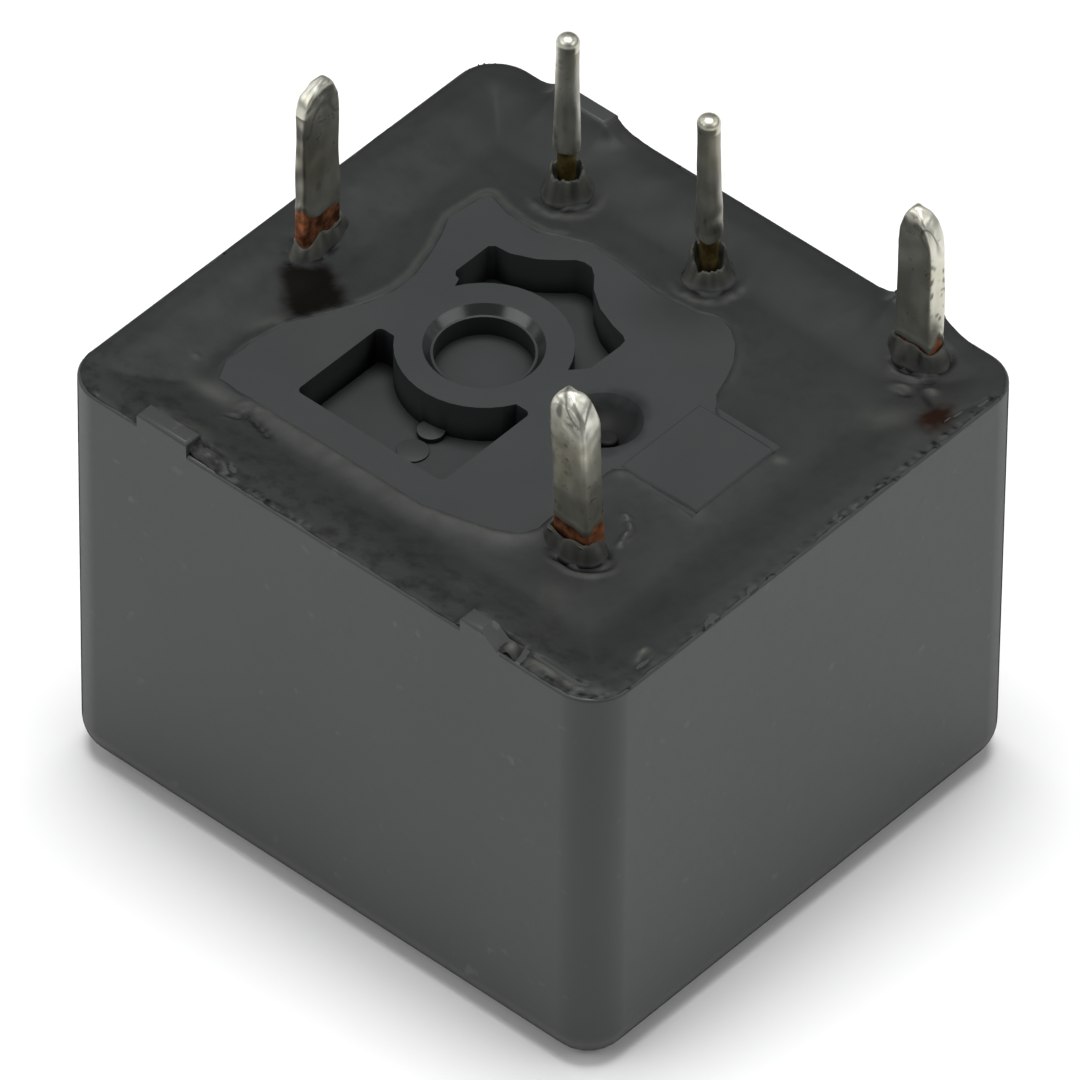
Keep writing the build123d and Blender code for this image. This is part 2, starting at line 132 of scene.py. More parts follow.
def mesh_from(name, verts_mm, faces, smooth=True):
    me = bpy.data.meshes.new(name)
    me.from_pydata([tuple(v) for v in (np.asarray(verts_mm) * MM)], [], faces)
    me.validate()
    me.update()
    ob = bpy.data.objects.new(name, me)
    scene.collection.objects.link(ob)
    if smooth:
        me.polygons.foreach_set("use_smooth", [True] * len(me.polygons))
    return ob


def put_attr(ob, name, values):
    at = ob.data.attributes.new(name, "FLOAT", "POINT")
    at.data.foreach_set("value", np.asarray(values, np.float32))


def apply_mods(ob):
    dg = bpy.context.evaluated_depsgraph_get()
    me = bpy.data.meshes.new_from_object(ob.evaluated_get(dg))
    old = ob.data
    ob.modifiers.clear()
    ob.data = me
    bpy.data.meshes.remove(old)
    me.name = ob.name


# ------------------------------------------------------------------ materials
class Nodes:
    def __init__(self, name):
        self.m = bpy.data.materials.new(name)
        self.m.use_nodes = True
        self.t = self.m.node_tree
        self.t.nodes.clear()
        self.out = self.t.nodes.new("ShaderNodeOutputMaterial")
        self.b = self.t.nodes.new("ShaderNodeBsdfPrincipled")
        self.t.links.new(self.b.outputs[0], self.out.inputs[0])
        self.co = self.t.nodes.new("ShaderNodeTexCoord").outputs["Object"]

    def new(self, kind, **kw):
        n = self.t.nodes.new(kind)
        for k, v in kw.items():
            setattr(n, k, v)
        return n

    def link(self, a, b):
        self.t.links.new(a, b)

    def noise(self, scale, detail=3, rough=0.5, distort=0.0):
        n = self.new("ShaderNodeTexNoise")
        self.link(self.co, n.inputs["Vector"])
        n.inputs["Scale"].default_value = scale
        n.inputs["Detail"].default_value = detail
        n.inputs["Roughness"].default_value = rough
        n.inputs["Distortion"].default_value = distort
        return n.outputs["Fac"]

    def ramp(self, fac, stops):
        n = self.new("ShaderNodeValToRGB")
        self.link(fac, n.inputs["Fac"])
        e = n.color_ramp.elements
        while len(e) < len(stops):
            e.new(0.5)
        for el, (p, c) in zip(e, stops):
            el.position = p
            el.color = (*c, 1) if len(c) == 3 else c
        return n.outputs["Color"]

    def val(self, fac, lo, hi, a=0.0, b=1.0):
        n = self.new("ShaderNodeMapRange")
        self.link(fac, n.inputs["Value"])
        n.inputs["From Min"].default_value = a
        n.inputs["From Max"].default_value = b
        n.inputs["To Min"].default_value = lo
        n.inputs["To Max"].default_value = hi
        return n.outputs["Result"]

    def mix(self, fac, a, b):
        n = self.new("ShaderNodeMix", data_type="RGBA")
        for s, v in ((n.inputs["Factor"], fac), (n.inputs[6], a), (n.inputs[7], b)):
            if isinstance(v, bpy.types.NodeSocket):
                self.link(v, s)
            elif isinstance(v, (int, float)):
                s.default_value = v
            else:
                s.default_value = (*v, 1)
        return n.outputs[2]

    def attr(self, name):
        n = self.new("ShaderNodeAttribute", attribute_name=name)
        return n.outputs["Fac"]

    def bump(self, height, strength, dist):
        n = self.new("ShaderNodeBump")
        n.inputs["Strength"].default_value = strength
        n.inputs["Distance"].default_value = dist
        self.link(height, n.inputs["Height"])
        self.link(n.outputs["Normal"], self.b.inputs["Normal"])
        return n

    def math(self, op, a, b=None):
        n = self.new("ShaderNodeMath", operation=op)
        for s, v in zip(n.inputs, (a, b)):
            if v is None:
                continue
            if isinstance(v, bpy.types.NodeSocket):
                self.link(v, s)
            else:
                s.default_value = v
        return n.outputs[0]


def cover_material():
    k = Nodes("cover_plastic")
    big = k.noise(220, 2, 0.5)
    fine = k.noise(5200, 4, 0.6)
    col = k.ramp(big, [(0.3, (0.0332, 0.0353, 0.0349)), (0.7, (0.0372, 0.0394, 0.0389))])
    speck = k.noise(2600, 2, 0.4)
    dust = k.val(speck, 0, 1, 0.70, 0.80)
    col = k.mix(dust, col, (0.060, 0.062, 0.061))
    k.link(col, k.b.inputs["Base Color"])
    lw = k.new("ShaderNodeLayerWeight")
    lw.inputs["Blend"].default_value = 0.5
    k.link(k.val(lw.outputs["Facing"], 0.30, 0.0, 0.60, 0.86), k.b.inputs["Specular IOR Level"])
    k.link(k.val(fine, 0.34, 0.44), k.b.inputs["Roughness"])
    k.bump(fine, 0.18, 0.00001)
    return k.m


def base_material():
    k = Nodes("base_plastic")
    big = k.noise(500, 3, 0.5)
    fine = k.noise(6500, 4, 0.6)
    col = k.ramp(big, [(0.3, (0.0228, 0.0256, 0.0256)), (0.7, (0.0265, 0.0293, 0.0293))])
    # painted shade in and round the vent dimple
    dist = k.new("ShaderNodeVectorMath", operation="DISTANCE")
    k.link(k.co, dist.inputs[0])
    dist.inputs[1].default_value = (0.00155, 0.00004, 0.0096)
    wander = k.math("MULTIPLY", k.math("SUBTRACT", k.noise(900, 3, 0.6), 0.5), 0.0009)
    vent_shade = k.val(k.math("ADD", dist.outputs["Value"], wander), 0.85, 0.0, 0.00060, 0.00102)
    col = k.mix(vent_shade, col, (0.009, 0.009, 0.0095))
    # a faint darker patch by the far edge of the plateau
    far = k.new("ShaderNodeVectorMath", operation="DISTANCE")
    k.link(k.co, far.inputs[0])
    far.inputs[1].default_value = (0.00055, 0.00345, 0.0098)
    far_darkening = k.val(k.math("ADD", far.outputs["Value"], wander), 0.62, 0.0, 0.00035, 0.00125)
    col = k.mix(far_darkening, col, (0.013, 0.0145, 0.0145))
    # painted shade: upright walls darkened, and the floors darkened where they meet the walls
    ao = k.new("ShaderNodeAmbientOcclusion", samples=8)
    ao.inputs["Distance"].default_value = 0.00055
    geo = k.new("ShaderNodeNewGeometry")
    sep = k.new("ShaderNodeSeparateXYZ")
    k.link(geo.outputs["Normal"], sep.inputs[0])
    upright = k.val(k.math("ABSOLUTE", sep.outputs["Z"]), 1.0, 0.0, 0.10, 0.55)
    wall_shade = k.math("MULTIPLY", upright, k.val(ao.outputs["AO"], 0.97, 0.0, 0.60, 0.96))
    recess_shade = k.math("MAXIMUM", wall_shade, k.val(ao.outputs["AO"], 0.90, 0.0, 0.28, 0.74))
    col = k.mix(recess_shade, col, (0.004, 0.004, 0.0045))
    # the dish mouth is polished
    flat = k.new("ShaderNodeVectorMath", operation="MULTIPLY")
    k.link(k.co, flat.inputs[0])
    flat.inputs[1].default_value = (1.0, 1.0, 0.0)
    rad = k.new("ShaderNodeVectorMath", operation="DISTANCE")
    k.link(flat.outputs["Vector"], rad.inputs[0])
    rad.inputs[1].default_value = (-0.00158, 0.00005, 0.0)
    inner = k.val(rad.outputs["Value"], 0.0, 1.0, 0.00096, 0.00098)
    outer = k.val(rad.outputs["Value"], 1.0, 0.0, 0.00119, 0.00122)
    shine = k.math("MULTIPLY", k.math("MULTIPLY", inner, outer),
                   k.val(sep.outputs["Z"], 1.0, 0.0, 0.90, 0.98))
    col = k.mix(k.math("MULTIPLY", shine, 0.75), col, (0.007, 0.0075, 0.0075))
    k.link(col, k.b.inputs["Base Color"])
    level = k.val(k.math("MAXIMUM", recess_shade, vent_shade), 0.30, 0.03)
    k.link(k.math("ADD", level, k.math("MULTIPLY", shine, 0.25)),
           k.b.inputs["Specular IOR Level"])
    matt = k.val(fine, 0.42, 0.54)
    k.link(k.math("SUBTRACT", matt, k.math("MULTIPLY", shine, 0.27)), k.b.inputs["Roughness"])
    k.bump(fine, 0.2, 0.00001)
    return k.m


def resin_material():
    k = Nodes("resin")
    big = k.noise(230, 3, 0.5)
    fine = k.noise(4200, 3, 0.55)
    col = k.ramp(big, [(0.25, (0.0150, 0.0170, 0.0170)), (0.8, (0.0205, 0.0225, 0.0218))])
    # pale resin, with painted highlight on ridges, bumps, the pad corner and along the plateau shore
    col = k.mix(k.attr("pale"), col, (0.092, 0.094, 0.079))
    sep = k.new("ShaderNodeSeparateXYZ")
    k.link(k.co, sep.inputs[0])
    rim = k.val(sep.outputs["Y"], 1.0, 0.0, -0.0061, -0.0044)
    grime = k.math("MULTIPLY", k.val(k.noise(2300, 4, 0.65), 0.0, 1.0, 0.46, 0.66),
                   k.math("ADD", k.math("MULTIPLY", rim, 0.48), 0.16))
    col = k.mix(grime, col, (0.0062, 0.0058, 0.0046))
    col = k.mix(k.attr("flux"), col, (0.0130, 0.0050, 0.0026))
    col = k.mix(k.attr("burn"), col, (0.0030, 0.0025, 0.0018))
    # dark grains, with painted shade in pits, troughs, creases and undercuts
    col = k.mix(k.attr("dark"), col, (0.0035, 0.0035, 0.0035))
    k.link(col, k.b.inputs["Base Color"])
    shade = k.math("MAXIMUM", k.math("MAXIMUM", k.attr("dark"), k.attr("burn")), k.attr("flux"))
    shade = k.math("MAXIMUM", shade, k.math("MULTIPLY", grime, 0.8))
    k.link(k.val(shade, 0.22, 0.04), k.b.inputs["Specular IOR Level"])
    k.link(k.val(fine, 0.44, 0.58), k.b.inputs["Roughness"])
    k.bump(fine, 0.14, 0.00001)
    return k.m


def solder_material(name, bare_lo, bare_hi, cracks, flecks):
    k = Nodes(name)
    tin, dull_and_shade = k.attr("tin"), k.attr("dull_and_shade")
    mp = k.new("ShaderNodeMapping")
    k.link(k.co, mp.inputs["Vector"])
    mp.inputs["Scale"].default_value = (1.0, 1.0, 0.30)
    streak = k.new("ShaderNodeTexNoise")
    k.link(mp.outputs["Vector"], streak.inputs["Vector"])
    streak.inputs["Scale"].default_value = 2600
    streak.inputs["Detail"].default_value = 3
    streak = streak.outputs["Fac"]
    lump = k.noise(1500, 3, 0.55)
    tincol = k.ramp(streak, [(0.30, (0.50, 0.49, 0.42)), (0.62, (0.67, 0.66, 0.58))])
    film = k.noise(700, 2, 0.5)
    tincol = k.mix(k.val(film, 0.0, 0.65, 0.46, 0.68), tincol, (0.43, 0.405, 0.285))
    vein = k.math("ABSOLUTE", k.math("SUBTRACT", k.noise(900, 1, 0.4), 0.52))
    sepz = k.new("ShaderNodeSeparateXYZ")
    k.link(k.co, sepz.inputs[0])
    crack = k.math("MULTIPLY", k.val(vein, cracks, 0.0, 0.004, 0.024),
                   k.val(sepz.outputs["Z"], 0.0, 1.0, 0.0126, 0.0132))
    dull_and_shade = k.math("MAXIMUM", dull_and_shade, crack)
    spot = k.math("MULTIPLY", k.val(k.noise(5200, 3, 0.6), 0.0, flecks, 0.585, 0.655),
                  k.val(k.noise(1300, 2, 0.5), 0.0, 1.0, 0.47, 0.60))
    dull_and_shade = k.math("MAXIMUM", dull_and_shade, spot)
    # dull patches, cracks and flecks, and painted shade on one face of the common pin
    tincol = k.mix(dull_and_shade, tincol, (0.085, 0.080, 0.070))
    patch = k.noise(3200, 3, 0.6)
    bare = k.ramp(patch, [(0.38, bare_lo), (0.66, bare_hi)])
    col = k.mix(tin, bare, tincol)
    k.link(col, k.b.inputs["Base Color"])
    k.b.inputs["Metallic"].default_value = 1.0
    r1 = k.val(lump, 0.30, 0.46, 0.3, 0.75)
    rough = k.math("ADD", r1, k.math("MULTIPLY", dull_and_shade, 0.18))
    rough = k.math("ADD", rough, k.math("MULTIPLY", k.math("SUBTRACT", 1.0, tin), 0.16))
    k.link(rough, k.b.inputs["Roughness"])
    k.bump(streak, 0.20, 0.00003)
    return k.m


def metal(name, lo, hi, rlo, rhi, scale=900, bump=0.1):
    k = Nodes(name)
    n = k.noise(scale, 4, 0.6)
    f = k.noise(scale * 6, 3, 0.6)
    k.link(k.ramp(n, [(0.3, lo), (0.7, hi)]), k.b.inputs["Base Color"])
    k.b.inputs["Metallic"].default_value = 1.0
    k.link(k.val(f, rlo, rhi), k.b.inputs["Roughness"])
    k.bump(f, bump, 0.00001)
    return k.m


def plastic(name, lo, hi, rlo, rhi):
    k = Nodes(name)
    n = k.noise(400, 3, 0.5)
    f = k.noise(4200, 3, 0.6)
    k.link(k.ramp(n, [(0.3, lo), (0.7, hi)]), k.b.inputs["Base Color"])
    k.link(k.val(f, rlo, rhi), k.b.inputs["Roughness"])
    k.bump(f, 0.15, 0.00001)
    return k.m


def winding_material():
    k = Nodes("magnet_wire")
    w = k.new("ShaderNodeTexWave", wave_type="BANDS", bands_direction="Z")
    k.link(k.co, w.inputs["Vector"])
    w.inputs["Scale"].default_value = 2600
    w.inputs["Distortion"].default_value = 0.6
    w.inputs["Detail"].default_value = 1
    k.link(k.ramp(w.outputs["Fac"], [(0.2, (0.20, 0.05, 0.015)), (0.8, (0.52, 0.17, 0.05))]),
           k.b.inputs["Base Color"])
    k.b.inputs["Metallic"].default_value = 0.8
    k.link(k.val(k.noise(3000), 0.2, 0.35), k.b.inputs["Roughness"])
    k.bump(w.outputs["Fac"], 0.6, 0.00003)
    return k.m


MAT = {
    "cover": cover_material(),
    "base": base_material(),
    "resin": resin_material(),
    "flat_pin": solder_material("tinned_copper", (0.150, 0.060, 0.030), (0.68, 0.28, 0.135), 0.75, 0.70),
    "round_pin": solder_material("tinned_wire", (0.10, 0.075, 0.022), (0.26, 0.20, 0.07), 0.0, 0.45),
    "iron": metal("soft_iron", (0.50, 0.50, 0.48), (0.64, 0.63, 0.60), 0.25, 0.42),
    "spring": metal("spring_alloy", (0.62, 0.30, 0.15), (0.76, 0.42, 0.24), 0.18, 0.32),
    "silver": metal("silver_contact", (0.74, 0.73, 0.69), (0.86, 0.85, 0.82), 0.12, 0.28),
    "rivet": metal("rivet_brass", (0.60, 0.42, 0.18), (0.74, 0.55, 0.27), 0.22, 0.36),
    "wire": winding_material(),
    "bobbin": plastic("bobbin_plastic", (0.56, 0.53, 0.46), (0.66, 0.63, 0.56), 0.35, 0.5),
}


def dress(ob, mat):
    ob.data.materials.clear()
    ob.data.materials.append(mat)


for node, key in (("cover", "cover"), ("bobbin", "bobbin"), ("coil_winding", "wire"),
                  ("coil_lead_1", "wire"), ("coil_lead_2", "wire"), ("core", "iron"),
                  ("yoke", "iron"), ("armature", "iron"), ("contact_spring", "spring"),
                  ("moving_contact", "silver"), ("no_contact", "silver"),
                  ("nc_contact", "silver"), ("armature_rivet_1", "rivet"),
                  ("armature_rivet_2", "rivet"), ("yoke_rivet_1", "rivet"),
                  ("yoke_rivet_2", "rivet")):
    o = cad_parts[node]
    for s in o.material_slots:
        s.material = MAT[key]


# ------------------------------------------------------------------ base
def copy_node(name, new):
    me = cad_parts[name].data.copy()
    me.name = new
    ob = bpy.data.objects.new(new, me)
    scene.collection.objects.link(ob)
    return ob


def weld(ob, dist=2e-7):
    bm = bmesh.new()
    bm.from_mesh(ob.data)
    bmesh.ops.remove_doubles(bm, verts=bm.verts, dist=dist)
    bm.to_mesh(ob.data)
    bm.free()
    ob.data.update()


def softened(node, name, width, key):
    """A copy of a moulded piece with its edges eased and its flats kept flat."""
    ob = copy_node(node, name)
    weld(ob)
    bm = bmesh.new()
    bm.from_mesh(ob.data)
    bmesh.ops.dissolve_limit(bm, angle_limit=math.radians(0.5), verts=bm.verts,
                             edges=bm.edges)
    bm.to_mesh(ob.data)
    bm.free()
    bev = ob.modifiers.new("soften", "BEVEL")
    bev.width = width * MM
    bev.segments = 3
    bev.limit_method = "ANGLE"
    bev.angle_limit = math.radians(30)
    apply_mods(ob)
    bm = bmesh.new()
    bm.from_mesh(ob.data)
    bmesh.ops.remove_doubles(bm, verts=bm.verts, dist=1e-7)
    bmesh.ops.dissolve_degenerate(bm, dist=1e-8, edges=bm.edges)
    bm.to_mesh(ob.data)
    bm.free()
    for f in ob.data.polygons:
        n = f.normal
        flat = max(abs(n.x), abs(n.y), abs(n.z)) > 0.9998 and f.area > 0.05e-6
        f.use_smooth = not flat and f.area < 0.5e-6
        if key == "cover":
            f.use_smooth = not flat
    wn = ob.modifiers.new("weigh", "WEIGHTED_NORMAL")
    wn.weight = 100
    apply_mods(ob)
    dress(ob, MAT[key])
    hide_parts(node)
    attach(ob, "housing")
    return ob


softened("base", "base_moulding", 0.022, "base")
softened("cover", "cover_moulding", 0.075, "cover")

# a copy of the contact spring with its transform baked in
spring = copy_node("contact_spring", "contact_spring_leaf")
weld(spring)
dress(spring, MAT["spring"])
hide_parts("contact_spring")
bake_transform(spring)


# ------------------------------------------------------------------ resin
def smooth_outline(poly, gap=0.09, sigma=2.0):
    """Closed outline resampled evenly with its corners eased."""
    P = np.vstack([poly, poly[:1]])
    seg = np.hypot(*np.diff(P, axis=0).T)
    cum = np.concatenate([[0], np.cumsum(seg)])
    n = int(cum[-1] / gap)
    w = np.linspace(0, cum[-1], n, endpoint=False)
    Q = np.stack([np.interp(w, cum, P[:, 0]), np.interp(w, cum, P[:, 1])], 1)
    k = np.arange(-6, 7)
    g = np.exp(-(k / sigma) ** 2 / 2)
    g /= g.sum()
    return sum(gi * np.roll(Q, -ki, axis=0) for gi, ki in zip(g, k))


def blob(x, y, cx, cy, rx, ry, ang=0.0, p=2.0):
    """Soft bump of height 1 at a place, turned by ang degrees."""
    c, q = math.cos(math.radians(ang)), math.sin(math.radians(ang))
    u = ((x - cx) * c + (y - cy) * q) / rx
    v = (-(x - cx) * q + (y - cy) * c) / ry
    return np.exp(-(u * u + v * v) ** (p / 2))


def resin_mesh():
    step = 0.056
    X0, Y0 = 7.05, 6.4
    xs = np.arange(-X0, X0 + step / 2, step)
    ys = np.arange(-Y0, Y0 + step / 2, step)
    gx, gy = np.meshgrid(xs, ys)
    nx, ny = len(xs), len(ys)
    x, y = gx.ravel().copy(), gy.ravel().copy()
    P = np.stack([x, y], 1)
    dedge = d_round_rect(x, y, LEN, WID, 0.94)
    ragged = 0.050 + 0.012 * waves(P, 1.1, 3) + 0.006 * waves(P, 0.35, 4)
    ragged = np.clip(ragged, 0.03, 0.10)
    out = dedge < ragged
    eps = 0.01
    gxn = (d_round_rect(x + eps, y, LEN, WID, 0.94) - dedge) / eps
    gyn = (d_round_rect(x, y + eps, LEN, WID, 0.94) - dedge) / eps
    move = np.where(out, ragged - dedge, 0)
    keepv = dedge > -0.07
    x2, y2 = x + gxn * move, y + gyn * move
    outline = smooth_outline(SHORE)
    dplat = d_poly(x, y, outline)

    pale = np.zeros(len(x))
    dark = np.zeros(len(x))
    # the pool lies a little higher on the coil pin side
    level = (9.735 + 0.0075 * y + 0.004 * waves(P, 3.4, 11)
             + 0.0008 * waves(P, 0.9, 12))
    # it wets the moulded face, most at its near corner
    wide = 0.24 + 0.26 * blob(x, y, -4.6, -4.5, 0.9, 0.6)
    dd = dplat + 0.012 * waves(P, 0.6, 13)
    rise = (9.803 - level) * np.exp(-np.maximum(dd, 0) / wide)
    z = level + rise
    z = np.where(dd < 0, 9.803 - 0.9 * np.maximum(-dd - 0.07, 0), z)
    # climb to the rim
    climb = 1 - sstep(0.46, 1.9, dedge + 0.018 * waves(P, 1.4, 14))
    rim = 10.037 + 0.003 * waves(P, 1.3, 15) + 0.0012 * waves(P, 0.5, 16)
    z = np.where(dd > 0, z * (1 - climb) + rim * climb, z)
    d2 = np.maximum(dedge, ragged)
    z = np.minimum(z, 10.020 + 0.030 * sstep(0.0, 0.16, d2 - ragged + 0.01))

    # painted highlight along the plateau shore: a broad pale band on the near side and a thin pale line
    # on the far side, for the light the rising resin catches
    near_side = sstep(-4.3, -3.6, x) * (y < -3.0) * (1 - sstep(2.4, 2.9, x))
    far_side = (y > -2.2) * (x < -2.5) * 1.0 + 0.25 * (y > 2.5)
    pale = np.maximum(pale, 0.20 * near_side * np.exp(-(np.maximum(dd, 0) / 0.30) ** 1.5))
    pale = np.maximum(pale, 0.30 * np.minimum(far_side, 1)
                      * np.exp(-((dd - 0.05) / 0.07) ** 2))
    pale = np.maximum(pale, 0.36 * blob(x, y, -4.62, -4.44, 0.62, 0.17, 2))
    pale = np.maximum(pale, 0.28 * blob(x, y, -5.16, -2.25, 0.14, 0.46, -22))
    pale = np.maximum(pale, 0.30 * blob(x, y, 5.62, 3.72, 0.55, 0.42, 40))
    # painted highlight by the pad's +X, +Y corner
    pale = np.maximum(pale, 0.42 * blob(x, y, 4.80, 1.50, 0.16, 0.12, 40))
    pale = np.maximum(pale, 0.14 * blob(x, y, 4.00, -4.15, 0.35, 0.30, 0))
    pale = np.maximum(pale, 0.16 * blob(x, y, 2.70, -5.20, 0.40, 0.28, 0))
    # dark grains along the near edges
    grain = waves(P, 0.25, 51, 40) + 0.6 * waves(P, 0.15, 52, 40)
    edge_band = np.exp(-((dedge - 0.13) / 0.07) ** 2)
    run = ((y < -5.6) * sstep(-4.2, -3.4, x) * (1 - sstep(-1.2, 0.6, x))
           + (y < -5.6) * 0.8 * sstep(4.7, 5.0, x)
           + (x > 6.3) * (0.35 + 0.65 * sstep(-0.2, 1.0, y)) * (y < 5.6))
    run = np.clip(run, 0, 1)
    dark = np.maximum(dark, run * edge_band * sstep(0.35, 0.9, grain))
    pale = np.maximum(pale, run * edge_band * 0.28 * sstep(0.45, 1.0, -grain))
    z = z + 0.008 * run * edge_band * np.clip(grain, -1.2, 1.2)

    def rect_d(p):
        qx = np.abs(x - p[0]) - p[2] / 2
        qy = np.abs(y - p[1]) - p[3] / 2
        return np.hypot(np.maximum(qx, 0), np.maximum(qy, 0)) + np.minimum(
            np.maximum(qx, qy), 0)

    ground = z.copy()

    def field(px, py):
        fx = np.clip((px + X0) / step, 0, nx - 1.001)
        fy = np.clip((py + Y0) / step, 0, ny - 1.001)
        i, j = fx.astype(int), fy.astype(int)
        u, v = fx - i, fy - j
        g = ground.reshape(ny, nx)
        return ((g[j, i] * (1 - u) + g[j, i + 1] * u) * (1 - v)
                + (g[j + 1, i] * (1 - u) + g[j + 1, i + 1] * u) * v)

    extra = []

    def sleeve(B, G, N, wide, high, ts, prof, tone, seed):
        """Rows of points round a pin, outward and down to the pool."""
        m = len(B)
        V, pa, da = [], [], []
        for t, h in zip(ts, prof):
            q = B + G * (t * wide)[:, None]
            wav = waves(q, 0.22, seed)
            if t > 0:
                q = q + N * (0.012 * waves(q, 0.50, seed + 4) + 0.003 * wav)[:, None]
            zz = field(q[:, 0], q[:, 1]) + (high + 0.012 * waves(q, 0.42, seed + 1)) * h
            if t > 1:
                zz = zz - 0.04
            V.append(np.stack([q[:, 0], q[:, 1], zz], 1))
            pa.append(np.clip(tone * (1 - 0.75 * max(0, t) ** 1.5)
                              * (1 + 0.35 * waves(q, 0.25, seed + 2)), 0, 1))
            # painted shade in the crease where the collar meets the pin, and random dark spots in the
            # collar
            crease_shade = 0.75 if t <= 0 else 0.0
            da.append(np.clip(crease_shade + 0.6 * sstep(1.1, 1.6, waves(q, 0.30, seed + 3)), 0, 1)
                      * np.ones(m))
        F = []
        for r in range(len(ts) - 1):
            for i in range(m):
                k = (i + 1) % m
                F.append((r * m + i, (r + 1) * m + i, (r + 1) * m + k, r * m + k))
        extra.append((np.concatenate(V), F, np.concatenate(pa), np.concatenate(da)))

    def blade_outline(p, r=0.06):
        hx, hy = p[2] / 2, p[3] / 2
        B, N = [], []
        for q, (sx, sy) in enumerate(((1, 1), (-1, 1), (-1, -1), (1, -1))):
            c0 = np.array([sx * (hx - r), sy * (hy - r)])
            for a in np.radians(np.linspace(q * 90, q * 90 + 90, 9)):
                n = np.array([math.cos(a), math.sin(a)])
                B.append(c0 + r * n)
                N.append(n)
            nxt = np.array([[-hx + r, hy], [-hx, -hy + r], [hx - r, -hy], [hx, hy - r]][q])
            last, n = B[-1], N[-1]
            k = max(2, int(np.hypot(*(nxt - last)) / 0.045))
            for u in np.arange(1, k) / k:
                B.append(last * (1 - u) + nxt * u)
                N.append(n)
        B, N = np.array(B), np.array(N)
        oa, ob = oval(p)
        ph = np.arctan2(B[:, 1] / ob, B[:, 0] / oa)
        G = np.stack([oa * np.cos(ph), ob * np.sin(ph)], 1) - B
        return B + np.array([p[0], p[1]]), G, N

    def oval(p):
        return p[2] / 2 * 1.414 + 0.10, p[3] / 2 * 1.414 + 0.10

    def oval_d(p):
        oa, ob = oval(p)
        r = np.hypot(x - p[0], y - p[1])
        return r - r / np.maximum(np.hypot((x - p[0]) / oa, (y - p[1]) / ob), 1e-6)

    TS = [-0.35, -0.05, 0.06, 0.14, 0.24, 0.36, 0.50, 0.64, 0.78, 0.90, 1.0, 1.25]
    PR = [0.70, 0.80, 0.96, 1.00, 0.96, 0.86, 0.68, 0.47, 0.26, 0.11, 0.03, 0.0]
    # collars drawn up round the blade pins
    dmin = np.full(len(x), 9.0)
    for p, h, w, seed, grow, tone in ((COM, 0.36, 1.00, 21, (0.0, 0.35), 0.90),
                                      (NO, 0.40, 0.95, 22, (-0.10, 0.10), 0.58),
                                      (NC, 0.38, 1.05, 23, (-0.10, 0.0), 0.62)):
        d = rect_d(p)
        dmin = np.minimum(dmin, d)
        B, G, N = blade_outline(p)
        bt = np.arctan2(B[:, 1] - p[1], B[:, 0] - p[0])
        wide = w * (1 + 0.14 * np.sin(2 * bt + seed) + 0.12 * np.sin(3 * bt + 2 * seed)
                    + 0.06 * waves(B, 0.7, seed + 10))
        high = h * (1 + 0.13 * np.sin(2 * bt + 1.3 * seed) + 0.10 * np.sin(3 * bt + seed)
                    + grow[0] * (B[:, 0] - p[0]) + grow[1] * (B[:, 1] - p[1]))
        high = high + 0.016 * waves(B, 0.42, seed + 11)
        sleeve(B, G, N, wide, high, TS, PR, tone, seed + 200)
        th = np.arctan2(y - p[1], x - p[0])
        # undercut line at the foot of the collar on the side towards the camera, with painted shade in
        # it
        side = sstep(-0.2, 0.55, np.cos(th + math.radians(48.7)))
        brk = sstep(-0.5, 0.3, waves(P, 0.45, seed + 62))
        near = np.exp(-((oval_d(p) - 0.03 + 0.02 * waves(P, 0.5, seed + 65)) / 0.050) ** 2) * side
        z = z - 0.05 * near * brk
        dark = np.maximum(dark, 0.9 * near * brk)
    # torn cups round the two coil pins
    TC = [-0.10, 0.10, 0.22, 0.32, 0.42, 0.52, 0.64, 0.76, 0.88, 1.0, 1.25]
    PC = [0.10, 0.18, 0.62, 0.94, 1.00, 0.86, 0.58, 0.32, 0.14, 0.04, 0.0]
    for i, (px, py, tip) in enumerate(COIL):
        d = np.hypot(x - px, y - py)
        dmin = np.minimum(dmin, d - 0.19)
        th = np.arctan2(y - py, x - px)
        away = np.cos(th + math.radians(48.7))
        ct = np.linspace(0, 2 * math.pi, 96, endpoint=False)
        N = np.stack([np.cos(ct), np.sin(ct)], 1)
        B = N * 0.20 + np.array([px, py])
        aw = np.cos(ct + math.radians(48.7))
        hi_side, lo_front = ((0.62, 0.50), (0.74, 0.32))[i]
        high = hi_side - (hi_side - lo_front) * sstep(0.0, 0.72, aw) - 0.10 * sstep(0.2, 0.9, -aw)
        ragged_top = waves(N, 0.55, 230 + i) + 0.7 * waves(N, 0.28, 232 + i)
        high = high * (1 + 0.075 * ragged_top)
        wide = 0.30 * (1 + 0.12 * np.sin(3 * ct + i) + 0.05 * waves(N, 1.0, 234 + i))
        sleeve(B, N, N, wide, high, TC, PC, 0.85, 240 + 10 * i)
